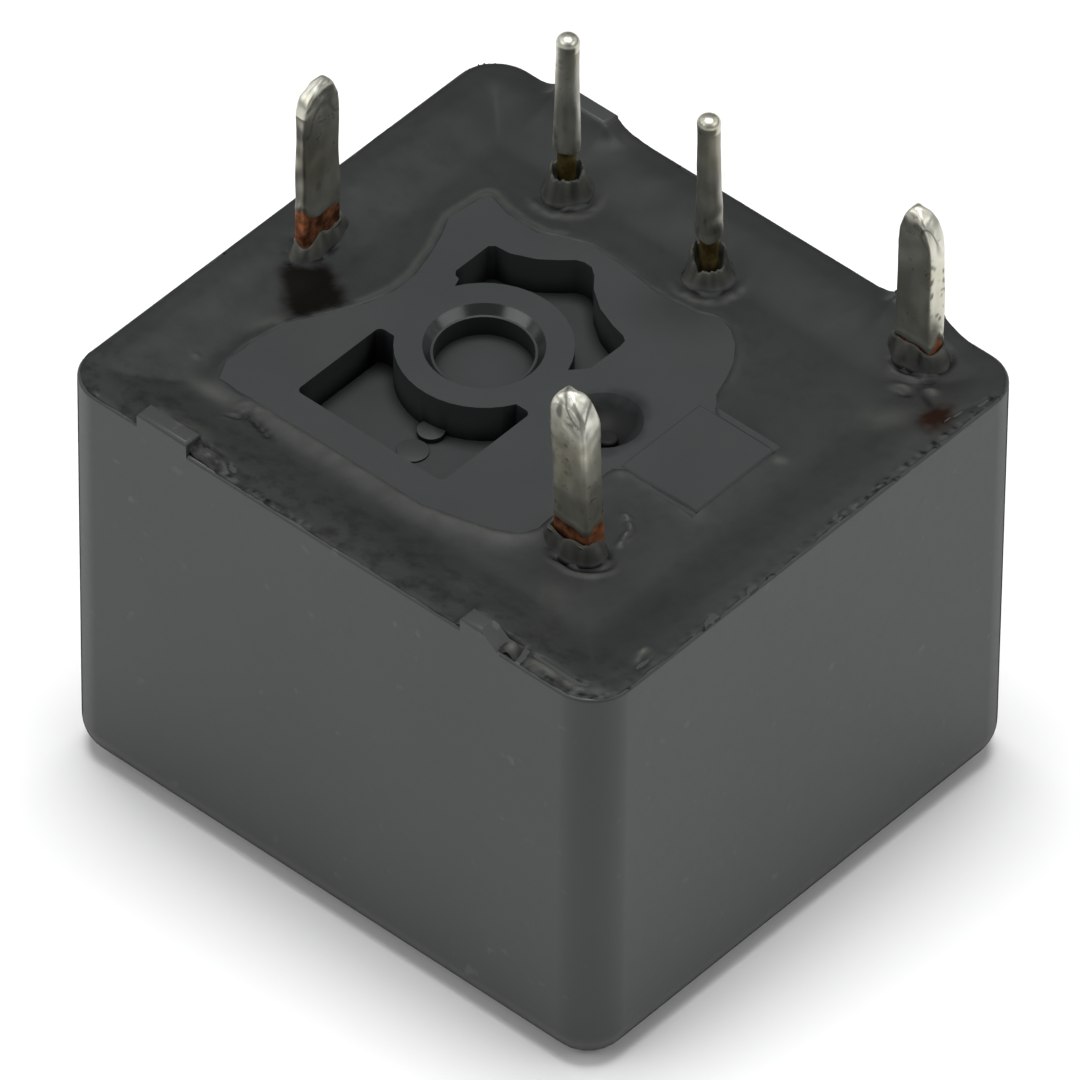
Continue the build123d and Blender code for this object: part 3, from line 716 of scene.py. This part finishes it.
        # ripple in front, with a painted highlight on its crest and painted shade in its trough
        wob = 0.05 * np.sin(3 * th + i) + 0.03 * np.sin(5 * th + 2 * i)
        wob = wob + 0.035 * waves(P, 0.25, 31 + i)
        front = sstep(0.15, 0.8, away)
        z = z + 0.022 * front * np.exp(-((d + wob * 0.6 - 0.78) / 0.075) ** 2)
        z = z - 0.035 * front * np.exp(-((d + wob * 0.6 - 0.60) / 0.045) ** 2)
        pale = np.maximum(pale, 0.42 * front * np.exp(-((d - 0.80) / 0.10) ** 2)
                          * np.clip(0.7 + 0.4 * waves(P, 0.3, 39 + i), 0, 1))
        dark = np.maximum(dark, 0.8 * front * np.exp(-((d + wob * 0.6 - 0.60) / 0.05) ** 2)
                          * sstep(-0.2, 0.5, waves(P, 0.35, 43 + i)))
    # folds in front of the near blade pin, with painted shade in the trough and a painted highlight on
    # the ridge
    th = np.arctan2(y - NO[1], x - NO[0]) + math.radians(48.7)
    dn = oval_d(NO) + 0.018 * waves(P, 0.6, 78)
    f1 = np.exp(-((dn - 0.12 - 0.05 * np.sin(2.2 * th)) / 0.040) ** 2)
    f2 = np.exp(-((dn - 0.25 - 0.05 * np.sin(2.2 * th)) / 0.050) ** 2)
    arc = np.exp(-(th / 0.85) ** 4)
    dark = np.maximum(dark, 0.95 * f1 * arc)
    z = z - 0.075 * f1 * arc + 0.040 * f2 * arc
    pale = np.maximum(pale, 0.35 * f2 * arc)
    # folds at the far blade pin, with painted shade in the trough and a painted highlight on the ridge
    th = np.arctan2(y - NC[1], x - NC[0]) + math.radians(82)
    dc = oval_d(NC) + 0.018 * waves(P, 0.5, 79)
    arc = np.exp(-(th / 0.6) ** 4)
    dark = np.maximum(dark, 0.9 * np.exp(-((dc - 0.10) / 0.06) ** 2) * arc)
    z = z - 0.07 * np.exp(-((dc - 0.10) / 0.045) ** 2) * arc
    z = z + 0.05 * np.exp(-((dc - 0.22) / 0.060) ** 2) * arc
    pale = np.maximum(pale, 0.5 * arc * np.exp(-((dc - 0.22) / 0.08) ** 2))

    # bubbles and a torn seam by the near long side
    for cx, cy, rx, ry, ang, h in (
            (-3.83, -4.66, 0.20, 0.045, 38, -0.07), (-3.71, -4.47, 0.07, 0.07, 0, -0.10),
            (-3.55, -4.50, 0.06, 0.05, 20, -0.06), (-3.37, -4.52, 0.10, 0.06, -30, -0.09),
            (-3.20, -4.56, 0.06, 0.06, 0, -0.07), (-3.05, -4.60, 0.08, 0.06, -20, -0.11),
            (-3.60, -4.60, 0.12, 0.06, 0, 0.012), (-3.30, -4.62, 0.10, 0.05, -20, 0.012),
            (-3.96, -4.27, 0.13, 0.04, 40, 0.02), (-3.67, -4.24, 0.06, 0.06, 0, 0.02),
            (-3.90, -4.80, 0.14, 0.05, 38, 0.02),
            # along the near rim and in the corners
            (-6.11, -6.22, 0.07, 0.06, 0, 0.04), (6.10, -5.90, 0.07, 0.05, 0, -0.06),
            (6.55, -5.77, 0.20, 0.16, 40, 0.03), (-5.52, -3.92, 0.05, 0.05, 0, 0.03),
            (6.56, -4.47, 0.10, 0.16, 0, 0.12), (6.72, -4.66, 0.050, 0.20, 0, -0.05),
            (6.90, -2.90, 0.06, 0.14, 0, -0.06), (6.90, -1.75, 0.06, 0.10, 0, -0.05),
            (6.88, 2.06, 0.05, 0.09, 0, 0.05), (6.88, 1.36, 0.05, 0.06, 0, 0.05),
            (6.86, 1.00, 0.05, 0.12, 0, 0.05), (6.80, 0.86, 0.04, 0.12, 0, -0.04),
            (6.66, 4.55, 0.035, 0.36, -10, -0.03), (6.84, 5.20, 0.035, 0.30, -10, -0.03),
            # crumbs beside the near blade pin
            (3.98, -2.06, 0.05, 0.12, 10, 0.16), (3.86, -1.82, 0.13, 0.040, -35, 0.15),
            (3.62, -1.66, 0.10, 0.040, 0, 0.12), (4.02, -2.28, 0.04, 0.06, 0, 0.10),
            # behind and below the far blade pin
            (5.55, 5.02, 0.16, 0.05, 35, -0.10), (5.78, 4.78, 0.17, 0.11, 20, 0.10),
            (5.20, 4.62, 0.20, 0.07, 25, 0.07), (5.42, 4.50, 0.14, 0.05, 20, -0.07)):
        k = blob(x, y, cx, cy, rx, ry, ang)
        z = z + h * k
        # painted highlight on the bumps, paler the higher they stand, and painted shade in the pits
        if h > 0:
            pale = np.maximum(pale, min(0.55, 7 * h) * k)
        else:
            dark = np.maximum(dark, 0.85 * k)
    # a sooty streak between the stain and the far blade pin
    dark = np.maximum(dark, 0.75 * blob(x, y, 5.98, 4.50, 0.50, 0.075, -27))
    # darker towards the far side, and a touch lighter towards the near right
    dark = np.maximum(dark, 0.13 * sstep(3.4, 5.0, y))
    pale = np.maximum(pale, 0.05 * sstep(3.2, 5.2, x) * sstep(-3.4, -2.0, y))
    # grime in the torn patch
    dark = np.maximum(dark, 0.80 * blob(x, y, -3.40, -4.56, 0.62, 0.15, -8)
                      * np.clip(0.55 + 0.45 * waves(P, 0.20, 73), 0, 1))
    # a folded skin along the rim by the near corner
    s2 = sstep(4.95, 5.2, x) * (1 - sstep(6.2, 6.5, x)) * (y < -5.3)
    z = z - 0.07 * s2 * np.exp(-((dedge - 0.42 - 0.02 * np.sin(5 * x)) / 0.045) ** 2)
    z = z + 0.04 * s2 * np.exp(-((dedge - 0.30) / 0.06) ** 2)
    pale = np.maximum(pale, 0.5 * s2 * np.exp(-((dedge - 0.28) / 0.08) ** 2))
    # creep up the inside of the feet, and a skin over their tops
    for sy, xa, xb, xt in FEET:
        cx = (xa + xt) / 2
        fx = np.abs(x - cx) - (xt - xa) / 2
        fy = (WID / 2 - FOOT_T) - sy * y
        if sy < 0:
            ends = 1 - sstep(-0.16, 0.22, fx)
            skin = 0.25 + 0.07 * waves(P, 0.50, 67) + 0.03 * waves(P, 0.20, 68)
        else:
            ends = np.exp(-(np.maximum(fx, 0) / 0.30) ** 1.3)
            skin = 0.36 + 0.02 * waves(P, 0.45, 69)
        near = np.exp(-np.maximum(fy, 0) / 0.20) * ends * (y * sy > 4.5)
        hgt = 10.305 + 0.004 * waves(P, 0.5, 60 + int(xa))
        if sy < 0:
            hgt = np.where(fy < 0, hgt, hgt - 0.01)
        z = z + near * np.maximum(hgt - z, 0)
        pale = np.maximum(pale, (0.62 if sy < 0 else 0.10) * near
                          * np.clip(0.8 + 0.4 * waves(P, 0.6, 66), 0.2, 1))
        slot = (fy < -skin) & (x > xa + 0.02) & (x < xt - 0.02)
        z = np.where(slot, 9.97, z)
    # torn lumps at the outer ends of the two near feet
    for cx, cy, rx, ry, ang, h, pl in (
            (-3.28, -6.10, 0.27, 0.14, 0, 0.17, 0.42), (-3.34, -5.86, 0.26, 0.045, 6, -0.11, 0),
            (-3.55, -6.10, 0.04, 0.16, 12, -0.06, 0), (-4.20, -5.86, 0.28, 0.035, 6, -0.07, 0),
            (-2.86, -6.05, 0.16, 0.10, -20, 0.09, 0.3), (-2.72, -5.98, 0.12, 0.05, -20, -0.12, 0),
            (-4.98, -6.22, 0.05, 0.08, 0, -0.08, 0),
            (4.66, -6.13, 0.15, 0.20, 25, 0.20, 0.60), (4.43, -5.88, 0.26, 0.065, 2, -0.16, 0),
            (4.88, -6.06, 0.05, 0.22, 15, -0.12, 0), (4.10, -5.90, 0.12, 0.05, 0, -0.10, 0),
            (4.24, -6.08, 0.07, 0.07, 0, 0.10, 0.6), (3.93, -6.12, 0.06, 0.06, 0, 0.06, 0.6),
            (4.05, -6.20, 0.05, 0.05, 0, -0.08, 0)):
        k = blob(x, y, cx, cy, rx, ry, ang, 3.0)
        z = z + h * k
        if pl:
            pale = np.maximum(pale, pl * k)
        # painted shade in the pits
        if h < 0:
            dark = np.maximum(dark, 0.9 * k)
    z = np.minimum(z, 10.315)
    # brown flux by two of the blade pins
    burn = 1 - sstep(-0.16, 0.20, d_poly(x, y, STAIN) + 0.040 * waves(P, 0.45, 75)
                     + 0.020 * waves(P, 0.15, 76))
    burn = burn * sstep(0.10, 0.30, rect_d(COM))
    flux = np.exp(-(((x - 6.42) / 0.30) ** 2 + ((y - 4.22) / 0.38) ** 2
                    + 0.25 * waves(P, 0.28, 77)).clip(0) ** 1.2)
    flux = np.clip(1.5 * flux * (0.9 + 0.15 * waves(P, 0.3, 72)), 0, 1)
    pale = pale * (1 - burn) * (1 - flux)

    idx = np.arange(nx * ny).reshape(ny, nx)
    a, b, c, d = idx[:-1, :-1], idx[:-1, 1:], idx[1:, 1:], idx[1:, :-1]
    quads = np.stack([a.ravel(), b.ravel(), c.ravel(), d.ravel()], 1)
    some_in = (~out)[quads].any(1)
    not_far = keepv[quads].all(1)
    deep_plat = (dplat[quads] < -0.15).all(1)
    deep_pin = (dmin[quads] < -0.06).all(1)
    quads = quads[some_in & not_far & ~deep_plat & ~deep_pin]
    used = np.unique(quads)
    remap = -np.ones(nx * ny, int)
    remap[used] = np.arange(len(used))
    V = np.stack([x2, y2, z], 1)[used]
    F = remap[quads].tolist()
    tone = {"burn": np.clip(burn, 0, 1)[used], "flux": flux[used],
            "dark": np.clip(dark, 0, 1)[used], "pale": np.clip(pale, 0, 1)[used]}
    for EV, EF, ep, ed in extra:
        F += [tuple(i + len(V) for i in f) for f in EF]
        V = np.concatenate([V, EV])
        none = np.zeros(len(EV))
        for key, val in (("burn", none), ("flux", none), ("dark", ed), ("pale", ep)):
            tone[key] = np.concatenate([tone[key], val])
    ob = mesh_from("potting_resin", V, F)
    for key, val in tone.items():
        put_attr(ob, key, val)
    return ob


resin = resin_mesh()
sol = resin.modifiers.new("thick", "SOLIDIFY")
sol.thickness = 0.05 * MM
sol.offset = -1
apply_mods(resin)
resin.data.polygons.foreach_set("use_smooth", [True] * len(resin.data.polygons))
dress(resin, MAT["resin"])
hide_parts("sealing_resin")
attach(resin, "housing")


# ------------------------------------------------------------------ pins
def cut_below(ob, z_mm):
    bm = bmesh.new()
    bm.from_mesh(ob.data)
    geom = bm.verts[:] + bm.edges[:] + bm.faces[:]
    r = bmesh.ops.bisect_plane(bm, geom=geom, plane_co=(0, 0, z_mm * MM),
                               plane_no=(0, 0, 1), clear_outer=True)
    edges = [e for e in r["geom_cut"] if isinstance(e, bmesh.types.BMEdge)]
    bmesh.ops.holes_fill(bm, edges=edges)
    bm.to_mesh(ob.data)
    bm.free()


def loft_pin(name, rings):
    """rings: list of (M, 3) arrays in mm, bottom to top; both ends closed."""
    m = len(rings[0])
    V = np.concatenate(rings)
    F = []
    for j in range(len(rings) - 1):
        for i in range(m):
            k = (i + 1) % m
            F.append((j * m + i, j * m + k, (j + 1) * m + k, (j + 1) * m + i))
    F.append(tuple(range(m - 1, -1, -1)))
    F.append(tuple(range((len(rings) - 1) * m, len(rings) * m)))
    return V, F


def super_ring(m, a, b, power):
    """Points round a squared ellipse with half sizes a and b."""
    t = np.linspace(0, 2 * math.pi, m, endpoint=False) + 0.013
    c, s = np.cos(t), np.sin(t)
    r = (np.abs(c) ** power + np.abs(s) ** power) ** (-1 / power)
    # spread points evenly along the outline
    px, py = a * r * c, b * r * s
    seg = np.hypot(np.diff(np.append(px, px[0])), np.diff(np.append(py, py[0])))
    cum = np.concatenate([[0], np.cumsum(seg)])
    want = np.linspace(0, cum[-1], m, endpoint=False)
    px = np.interp(want, cum, np.append(px, px[0]))
    py = np.interp(want, cum, np.append(py, py[0]))
    return px, py


def flat_pin(name, node, p, seed, coat_from, lean, arch, lump, dull_and_shade_at):
    """A soldered blade pin with an arched tip.

    coat_from(x, y) gives the height where the solder starts, lean the slope
    from upright about z 12, and arch the tip: where its apex lies across the
    wide side, the drop to either shoulder, the power, and the drop across
    the thin side.
    """
    cx, cy, bx, by, sx, sy, tip = p
    m, n = 116, 200
    z0 = 9.60
    wide_x = sx > sy
    s0, h_lo, h_hi, pw, h_t = arch
    hmax = max(h_lo, h_hi, h_t)
    zs = np.concatenate([np.linspace(z0, tip - hmax, 120, endpoint=False),
                         tip - hmax + np.sin(np.linspace(0, math.pi / 2, n - 120)) * hmax])

    def width(z, h, q):
        u = np.clip((z - (tip - h)) / h, 0, 0.9996)
        return (1 - u ** q) ** (1 / q)

    rings, tins, dull_and_shade_rows = [], [], []
    for z in zs:
        lo = s0 - (1 + s0) * width(z, h_lo, pw)
        hi = s0 + (1 - s0) * width(z, h_hi, pw)
        ft = width(z, h_t, 2.2)
        W, T = (sx, sy) if wide_x else (sy, sx)
        BW, BT = (bx, by) if wide_x else (by, bx)
        half, mid = (hi - lo) / 2 * W / 2, (hi + lo) / 2 * W / 2
        u = max(0.0, 1 - (hi - lo) / 2)
        taper = 1 - 0.030 * max(0.0, min(1.0, (z - 10.6) / 2.4))
        hw, ht = super_ring(m, half * taper, T / 2 * ft * taper, 8.5 - 5.5 * u)
        gw, gt = super_ring(m, BW / 2, BT / 2, 14.0)
        X, Y = (hw + mid, ht) if wide_x else (ht, hw + mid)
        GX, GY = (gw, gt) if wide_x else (gt, gw)
        if not wide_x:      # keep the ring running the same way round
            X, Y, GX, GY = X[::-1], Y[::-1], GX[::-1], GY[::-1]
        zb = coat_from(X, Y)
        tin = sstep(zb - 0.035, zb + 0.035, np.full(m, z))
        X = GX * (1 - tin) + X * tin
        Y = GY * (1 - tin) + Y * tin
        R = np.stack([cx + X + lean[0] * (z - 12), cy + Y + lean[1] * (z - 12),
                      np.full(m, z)], 1)
        nrm = np.stack([X / (sx / 2) ** 2, Y / (sy / 2) ** 2], 1)
        nrm /= np.maximum(np.linalg.norm(nrm, axis=1), 1e-9)[:, None]
        Q = R * np.array([1, 1, 0.55])
        w = waves(Q, 0.95, seed) * lump[0] + waves(Q, 0.40, seed + 1) * lump[1]
        near_tip = math.exp(-((tip - z) / 0.75) ** 2)
        w = w + near_tip * waves(R, 0.36, seed + 2) * lump[2]
        fade = min(1.0, (tip - z) / 0.10 + 0.2)
        w = w * tin * fade
        R[:, :2] += nrm * w[:, None]
        bead = np.exp(-((z - zb - 0.11) / 0.09) ** 2) * 0.014 * tin
        R[:, :2] += nrm * bead[:, None]
        rings.append(R)
        tins.append(tin)
        dull_and_shade_rows.append(dull_and_shade_at(X / (sx / 2), Y / (sy / 2), z, R))
    lo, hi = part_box(node)
    V, F = loft_pin(name, rings)
    V[:, 0] = np.clip(V[:, 0], lo.x / MM + 0.001, hi.x / MM - 0.001)
    V[:, 1] = np.clip(V[:, 1], lo.y / MM + 0.001, hi.y / MM - 0.001)
    V[:, 2] = np.minimum(V[:, 2], hi.z / MM - 0.001)
    top = mesh_from(name, V, F)
    put_attr(top, "tin", np.concatenate(tins))
    put_attr(top, "dull_and_shade", np.clip(np.concatenate(dull_and_shade_rows), 0, 1))
    low = copy_node(node, name + "_low")
    weld(low)
    cut_below(low, 9.66)
    put_attr(low, "dull_and_shade", np.zeros(len(low.data.vertices)))
    put_attr(low, "tin", np.ones(len(low.data.vertices)))
    low.data.polygons.foreach_set("use_smooth", [False] * len(low.data.polygons))
    for o in (top, low):
        dress(o, MAT["flat_pin"])
    with bpy.context.temp_override(active_object=top, object=top,
                                   selected_objects=[top, low],
                                   selected_editable_objects=[top, low]):
        bpy.ops.object.join()
    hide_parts(node)
    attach(top, "housing")
    return top


com_pin = flat_pin(
    "common_pin", "com_terminal", COM, 101,
    lambda x, y: (10.70 + 0.34 * np.exp(-(y + 0.52) / 0.22)
                  + 0.03 * np.sin(9 * y) - 0.10 * (x < 0)),
    (0.0, 0.0), (0.27, 0.62, 0.80, 1.75, 0.22), (0.014, 0.0022, 0.014),
    # painted shade: the −Y narrow face made darker for the dark resin it reflects; random dull streaks
    # below the tip
    lambda u, v, z, R: np.maximum(
        sstep(0.86, 0.97, -v) * (z < 13.5) * np.clip(0.80 + 0.3 * waves(R, 0.7, 105), 0, 1),
        0.40 * sstep(0.8, 1.7, waves(R * np.array([1, 1, 0.55]), 0.34, 106)) * (z < 13.3)))
nc_pin = flat_pin(
    "normally_closed_pin", "nc_terminal", NC, 111,
    lambda x, y: (10.33 + 0.06 * np.cos(4 * x) + 0.30 * sstep(0.2, 0.44, x)
                  * np.exp(-((y - 0.02) / 0.12) ** 2) + 0.02 * np.sin(11 * x + 5 * y)),
    (0.0, 0.0), (-0.28, 1.00, 0.95, 2.0, 0.35), (0.012, 0.0030, 0.014),
    lambda u, v, z, R: np.maximum(
        0.7 * sstep(0.3, 1.2, waves(R * np.array([1, 1, 0.5]), 0.32, 115)) * sstep(12.9, 13.4, z),
        0.8 * sstep(0.6, 1.2, waves(R * np.array([1, 1, 0.6]), 0.24, 117)) * sstep(0.85, 0.95, u)))
no_pin = flat_pin(
    "normally_open_pin", "no_terminal", NO, 121,
    lambda x, y: (10.40 + 0.03 * np.cos(5 * x + 1) + 0.14 * sstep(0.1, 0.43, x)
                  * sstep(-0.2, 0.0, y) + 0.02 * np.sin(13 * x)),
    (-0.030, -0.024), (-0.15, 0.62, 0.78, 2.1, 0.42), (0.015, 0.0035, 0.016),
    lambda u, v, z, R: np.maximum(
        np.maximum(
            sstep(0.72, 0.92, -u) * sstep(-0.4, 0.5, waves(R * np.array([1, 1, 0.4]), 0.5, 125)),
            0.42 * sstep(0.8, 1.7, waves(R * np.array([1, 1, 0.50]), 0.34, 127)) * (z < 13.2)),
        0.8 * sstep(0.3, 1.2, waves(R * np.array([1, 1, 0.5]), 0.30, 126))
        * sstep(12.7, 13.3, z)))


def round_pin(name, node, x, y, tip, seed, coat, lean):
    m, n = 72, 170
    zs = np.concatenate([np.linspace(9.55, tip - 0.4, 130, endpoint=False),
                         tip - 0.4 + np.sin(np.linspace(0, math.pi / 2, n - 130)) * 0.4])
    th = np.linspace(0, 2 * math.pi, m, endpoint=False)
    rings, tins, dull_and_shade_rows = [], [], []
    rng = np.random.default_rng(seed)
    ph = rng.uniform(0, 6.28, 6)
    zb = coat + 0.05 * np.sin(th + ph[0]) + 0.03 * np.sin(3 * th + ph[1])
    for z in zs:
        r = np.interp(z, [10.8, 11.1, 11.6, 12.3, 13.2, tip - 0.30, tip - 0.18, tip],
                      [0.268, 0.284, 0.266, 0.246, 0.232, 0.234, 0.240, 0.240])
        u = max(0.0, (z - (tip - 0.20)) / 0.20)
        r = r * (1 - min(u, 0.9995) ** 2.3) ** (1 / 2.3)
        tin = sstep(zb - 0.04, zb + 0.04, np.full(m, z))
        rr = 0.19 * (1 - tin) + r * tin
        R = np.stack([x + rr * np.cos(th) + lean * (z - 10.4), y + rr * np.sin(th),
                      np.full(m, z)], 1)
        Q = R * np.array([1, 1, 0.6])
        w = waves(Q, 0.8, seed) * 0.006 + waves(Q, 0.35, seed + 1) * 0.0025
        lowlump = math.exp(-((z - 11.2) / 0.45) ** 2)
        w += lowlump * waves(R, 0.45, seed + 2) * 0.014
        w = w * tin * (1 - 0.4 * u)
        R[:, 0] += np.cos(th) * w
        R[:, 1] += np.sin(th) * w
        rings.append(R)
        tins.append(tin)
        # the side towards +X made duller and darker, and dull spots round the low lump
        side = sstep(0.35, 0.95, np.cos(th - math.radians(18)))
        spot = sstep(0.2, 1.3, waves(R * np.array([1, 1, 0.35]), 0.22, seed + 6))
        low = 0.75 * math.exp(-((z - 11.25) / 0.55) ** 2)
        dull_and_shade_rows.append(np.maximum(0.50 * side * (z < tip - 0.35), spot * low))
    lo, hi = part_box(node)
    V, F = loft_pin(name, rings)
    V[:, 0] = np.clip(V[:, 0], lo.x / MM, hi.x / MM)
    V[:, 1] = np.clip(V[:, 1], lo.y / MM, hi.y / MM)
    V[:, 2] = np.minimum(V[:, 2], hi.z / MM)
    top = mesh_from(name, V, F)
    put_attr(top, "tin", np.concatenate(tins))
    put_attr(top, "dull_and_shade", np.clip(np.concatenate(dull_and_shade_rows), 0, 1))
    low = copy_node(node, name + "_low")
    weld(low)
    cut_below(low, 9.6)
    put_attr(low, "dull_and_shade", np.zeros(len(low.data.vertices)))
    put_attr(low, "tin", np.ones(len(low.data.vertices)))
    for o in (top, low):
        dress(o, MAT["round_pin"])
    with bpy.context.temp_override(active_object=top, object=top,
                                   selected_objects=[top, low],
                                   selected_editable_objects=[top, low]):
        bpy.ops.object.join()
    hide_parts(node)
    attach(top, "housing")
    return top


for i, (x, y, tip) in enumerate(COIL, 1):
    round_pin("coil_pin_%d" % i, "coil_terminal_%d" % i, x, y, tip, 200 + 10 * i,
              (10.90, 10.85)[i - 1], (0.0, -0.02)[i - 1])

# ------------------------------------------------------------------ camera
AZ, EL, ROLL = math.radians(41.34), math.radians(44.06), math.radians(0.599)
DIST, FPX = 361.45, 18433.0
TARGET = np.array([-0.3977, 0.4084, 5.035])
zc = np.array([math.sin(AZ) * math.cos(EL), -math.cos(AZ) * math.cos(EL), math.sin(EL)])
xc = np.array([math.cos(AZ), math.sin(AZ), 0.0])
yc = np.cross(zc, xc)
xr = math.cos(ROLL) * xc + math.sin(ROLL) * yc
yr = -math.sin(ROLL) * xc + math.cos(ROLL) * yc
C = (TARGET + zc * DIST) * MM
cam = bpy.data.cameras.new("camera")
cam.sensor_width = 36
cam.sensor_fit = "AUTO"
cam.lens = FPX * 36 / 1080
cam.clip_start = 0.01
cam.clip_end = 20
cam_ob = bpy.data.objects.new("camera", cam)
cam_ob.matrix_world = Matrix(((xr[0], yr[0], zc[0], C[0]), (xr[1], yr[1], zc[1], C[1]),
                              (xr[2], yr[2], zc[2], C[2]), (0, 0, 0, 1)))
scene.collection.objects.link(cam_ob)
scene.camera = cam_ob

# ------------------------------------------------------------------ stage
bpy.ops.mesh.primitive_plane_add(size=4, location=(0, 0, 0))
floor = bpy.context.object
floor.name = "floor"
k = Nodes("floor_pale")
fn = k.noise(3, 2, 0.5)
k.link(k.ramp(fn, [(0.3, (0.86, 0.86, 0.86)), (0.7, (0.88, 0.88, 0.88))]), k.b.inputs["Base Color"])
k.b.inputs["Roughness"].default_value = 0.7
dress(floor, k.m)

world = bpy.data.worlds.new("world")
scene.world = world
world.use_nodes = True
world.node_tree.nodes["Background"].inputs["Color"].default_value = (0.95, 0.97, 1.0, 1)
world.node_tree.nodes["Background"].inputs["Strength"].default_value = 0.20


def area(name, direction, elev, dist, sx, sy, power):
    d = Vector((direction[0], direction[1], 0)).normalized() * math.cos(math.radians(elev))
    d.z = math.sin(math.radians(elev))
    li = bpy.data.lights.new(name, "AREA")
    li.shape = "RECTANGLE"
    li.size, li.size_y = sx, sy
    li.energy = power
    ob = bpy.data.objects.new(name, li)
    ob.location = d * dist + Vector((0, 0, 0.005))
    ob.rotation_euler = (-d).to_track_quat("-Z", "Y").to_euler()
    scene.collection.objects.link(ob)
    return ob


area("soft_left", (-0.98, -0.20), 32, 0.60, 0.44, 0.36, 0.40)
area("soft_right", (0.30, 0.95), 32, 0.60, 0.44, 0.36, 0.35)
area("soft_top", (-0.66, 0.75), 84, 0.60, 0.32, 0.32, 3.5)
area("glint_left", (-0.449, -0.893), 38, 0.60, 0.42, 0.28, 0.91)
area("glint_right", (0.944, 0.331), 38, 0.60, 0.42, 0.28, 0.75)

scene.view_settings.view_transform = "Standard"
scene.view_settings.look = "None"
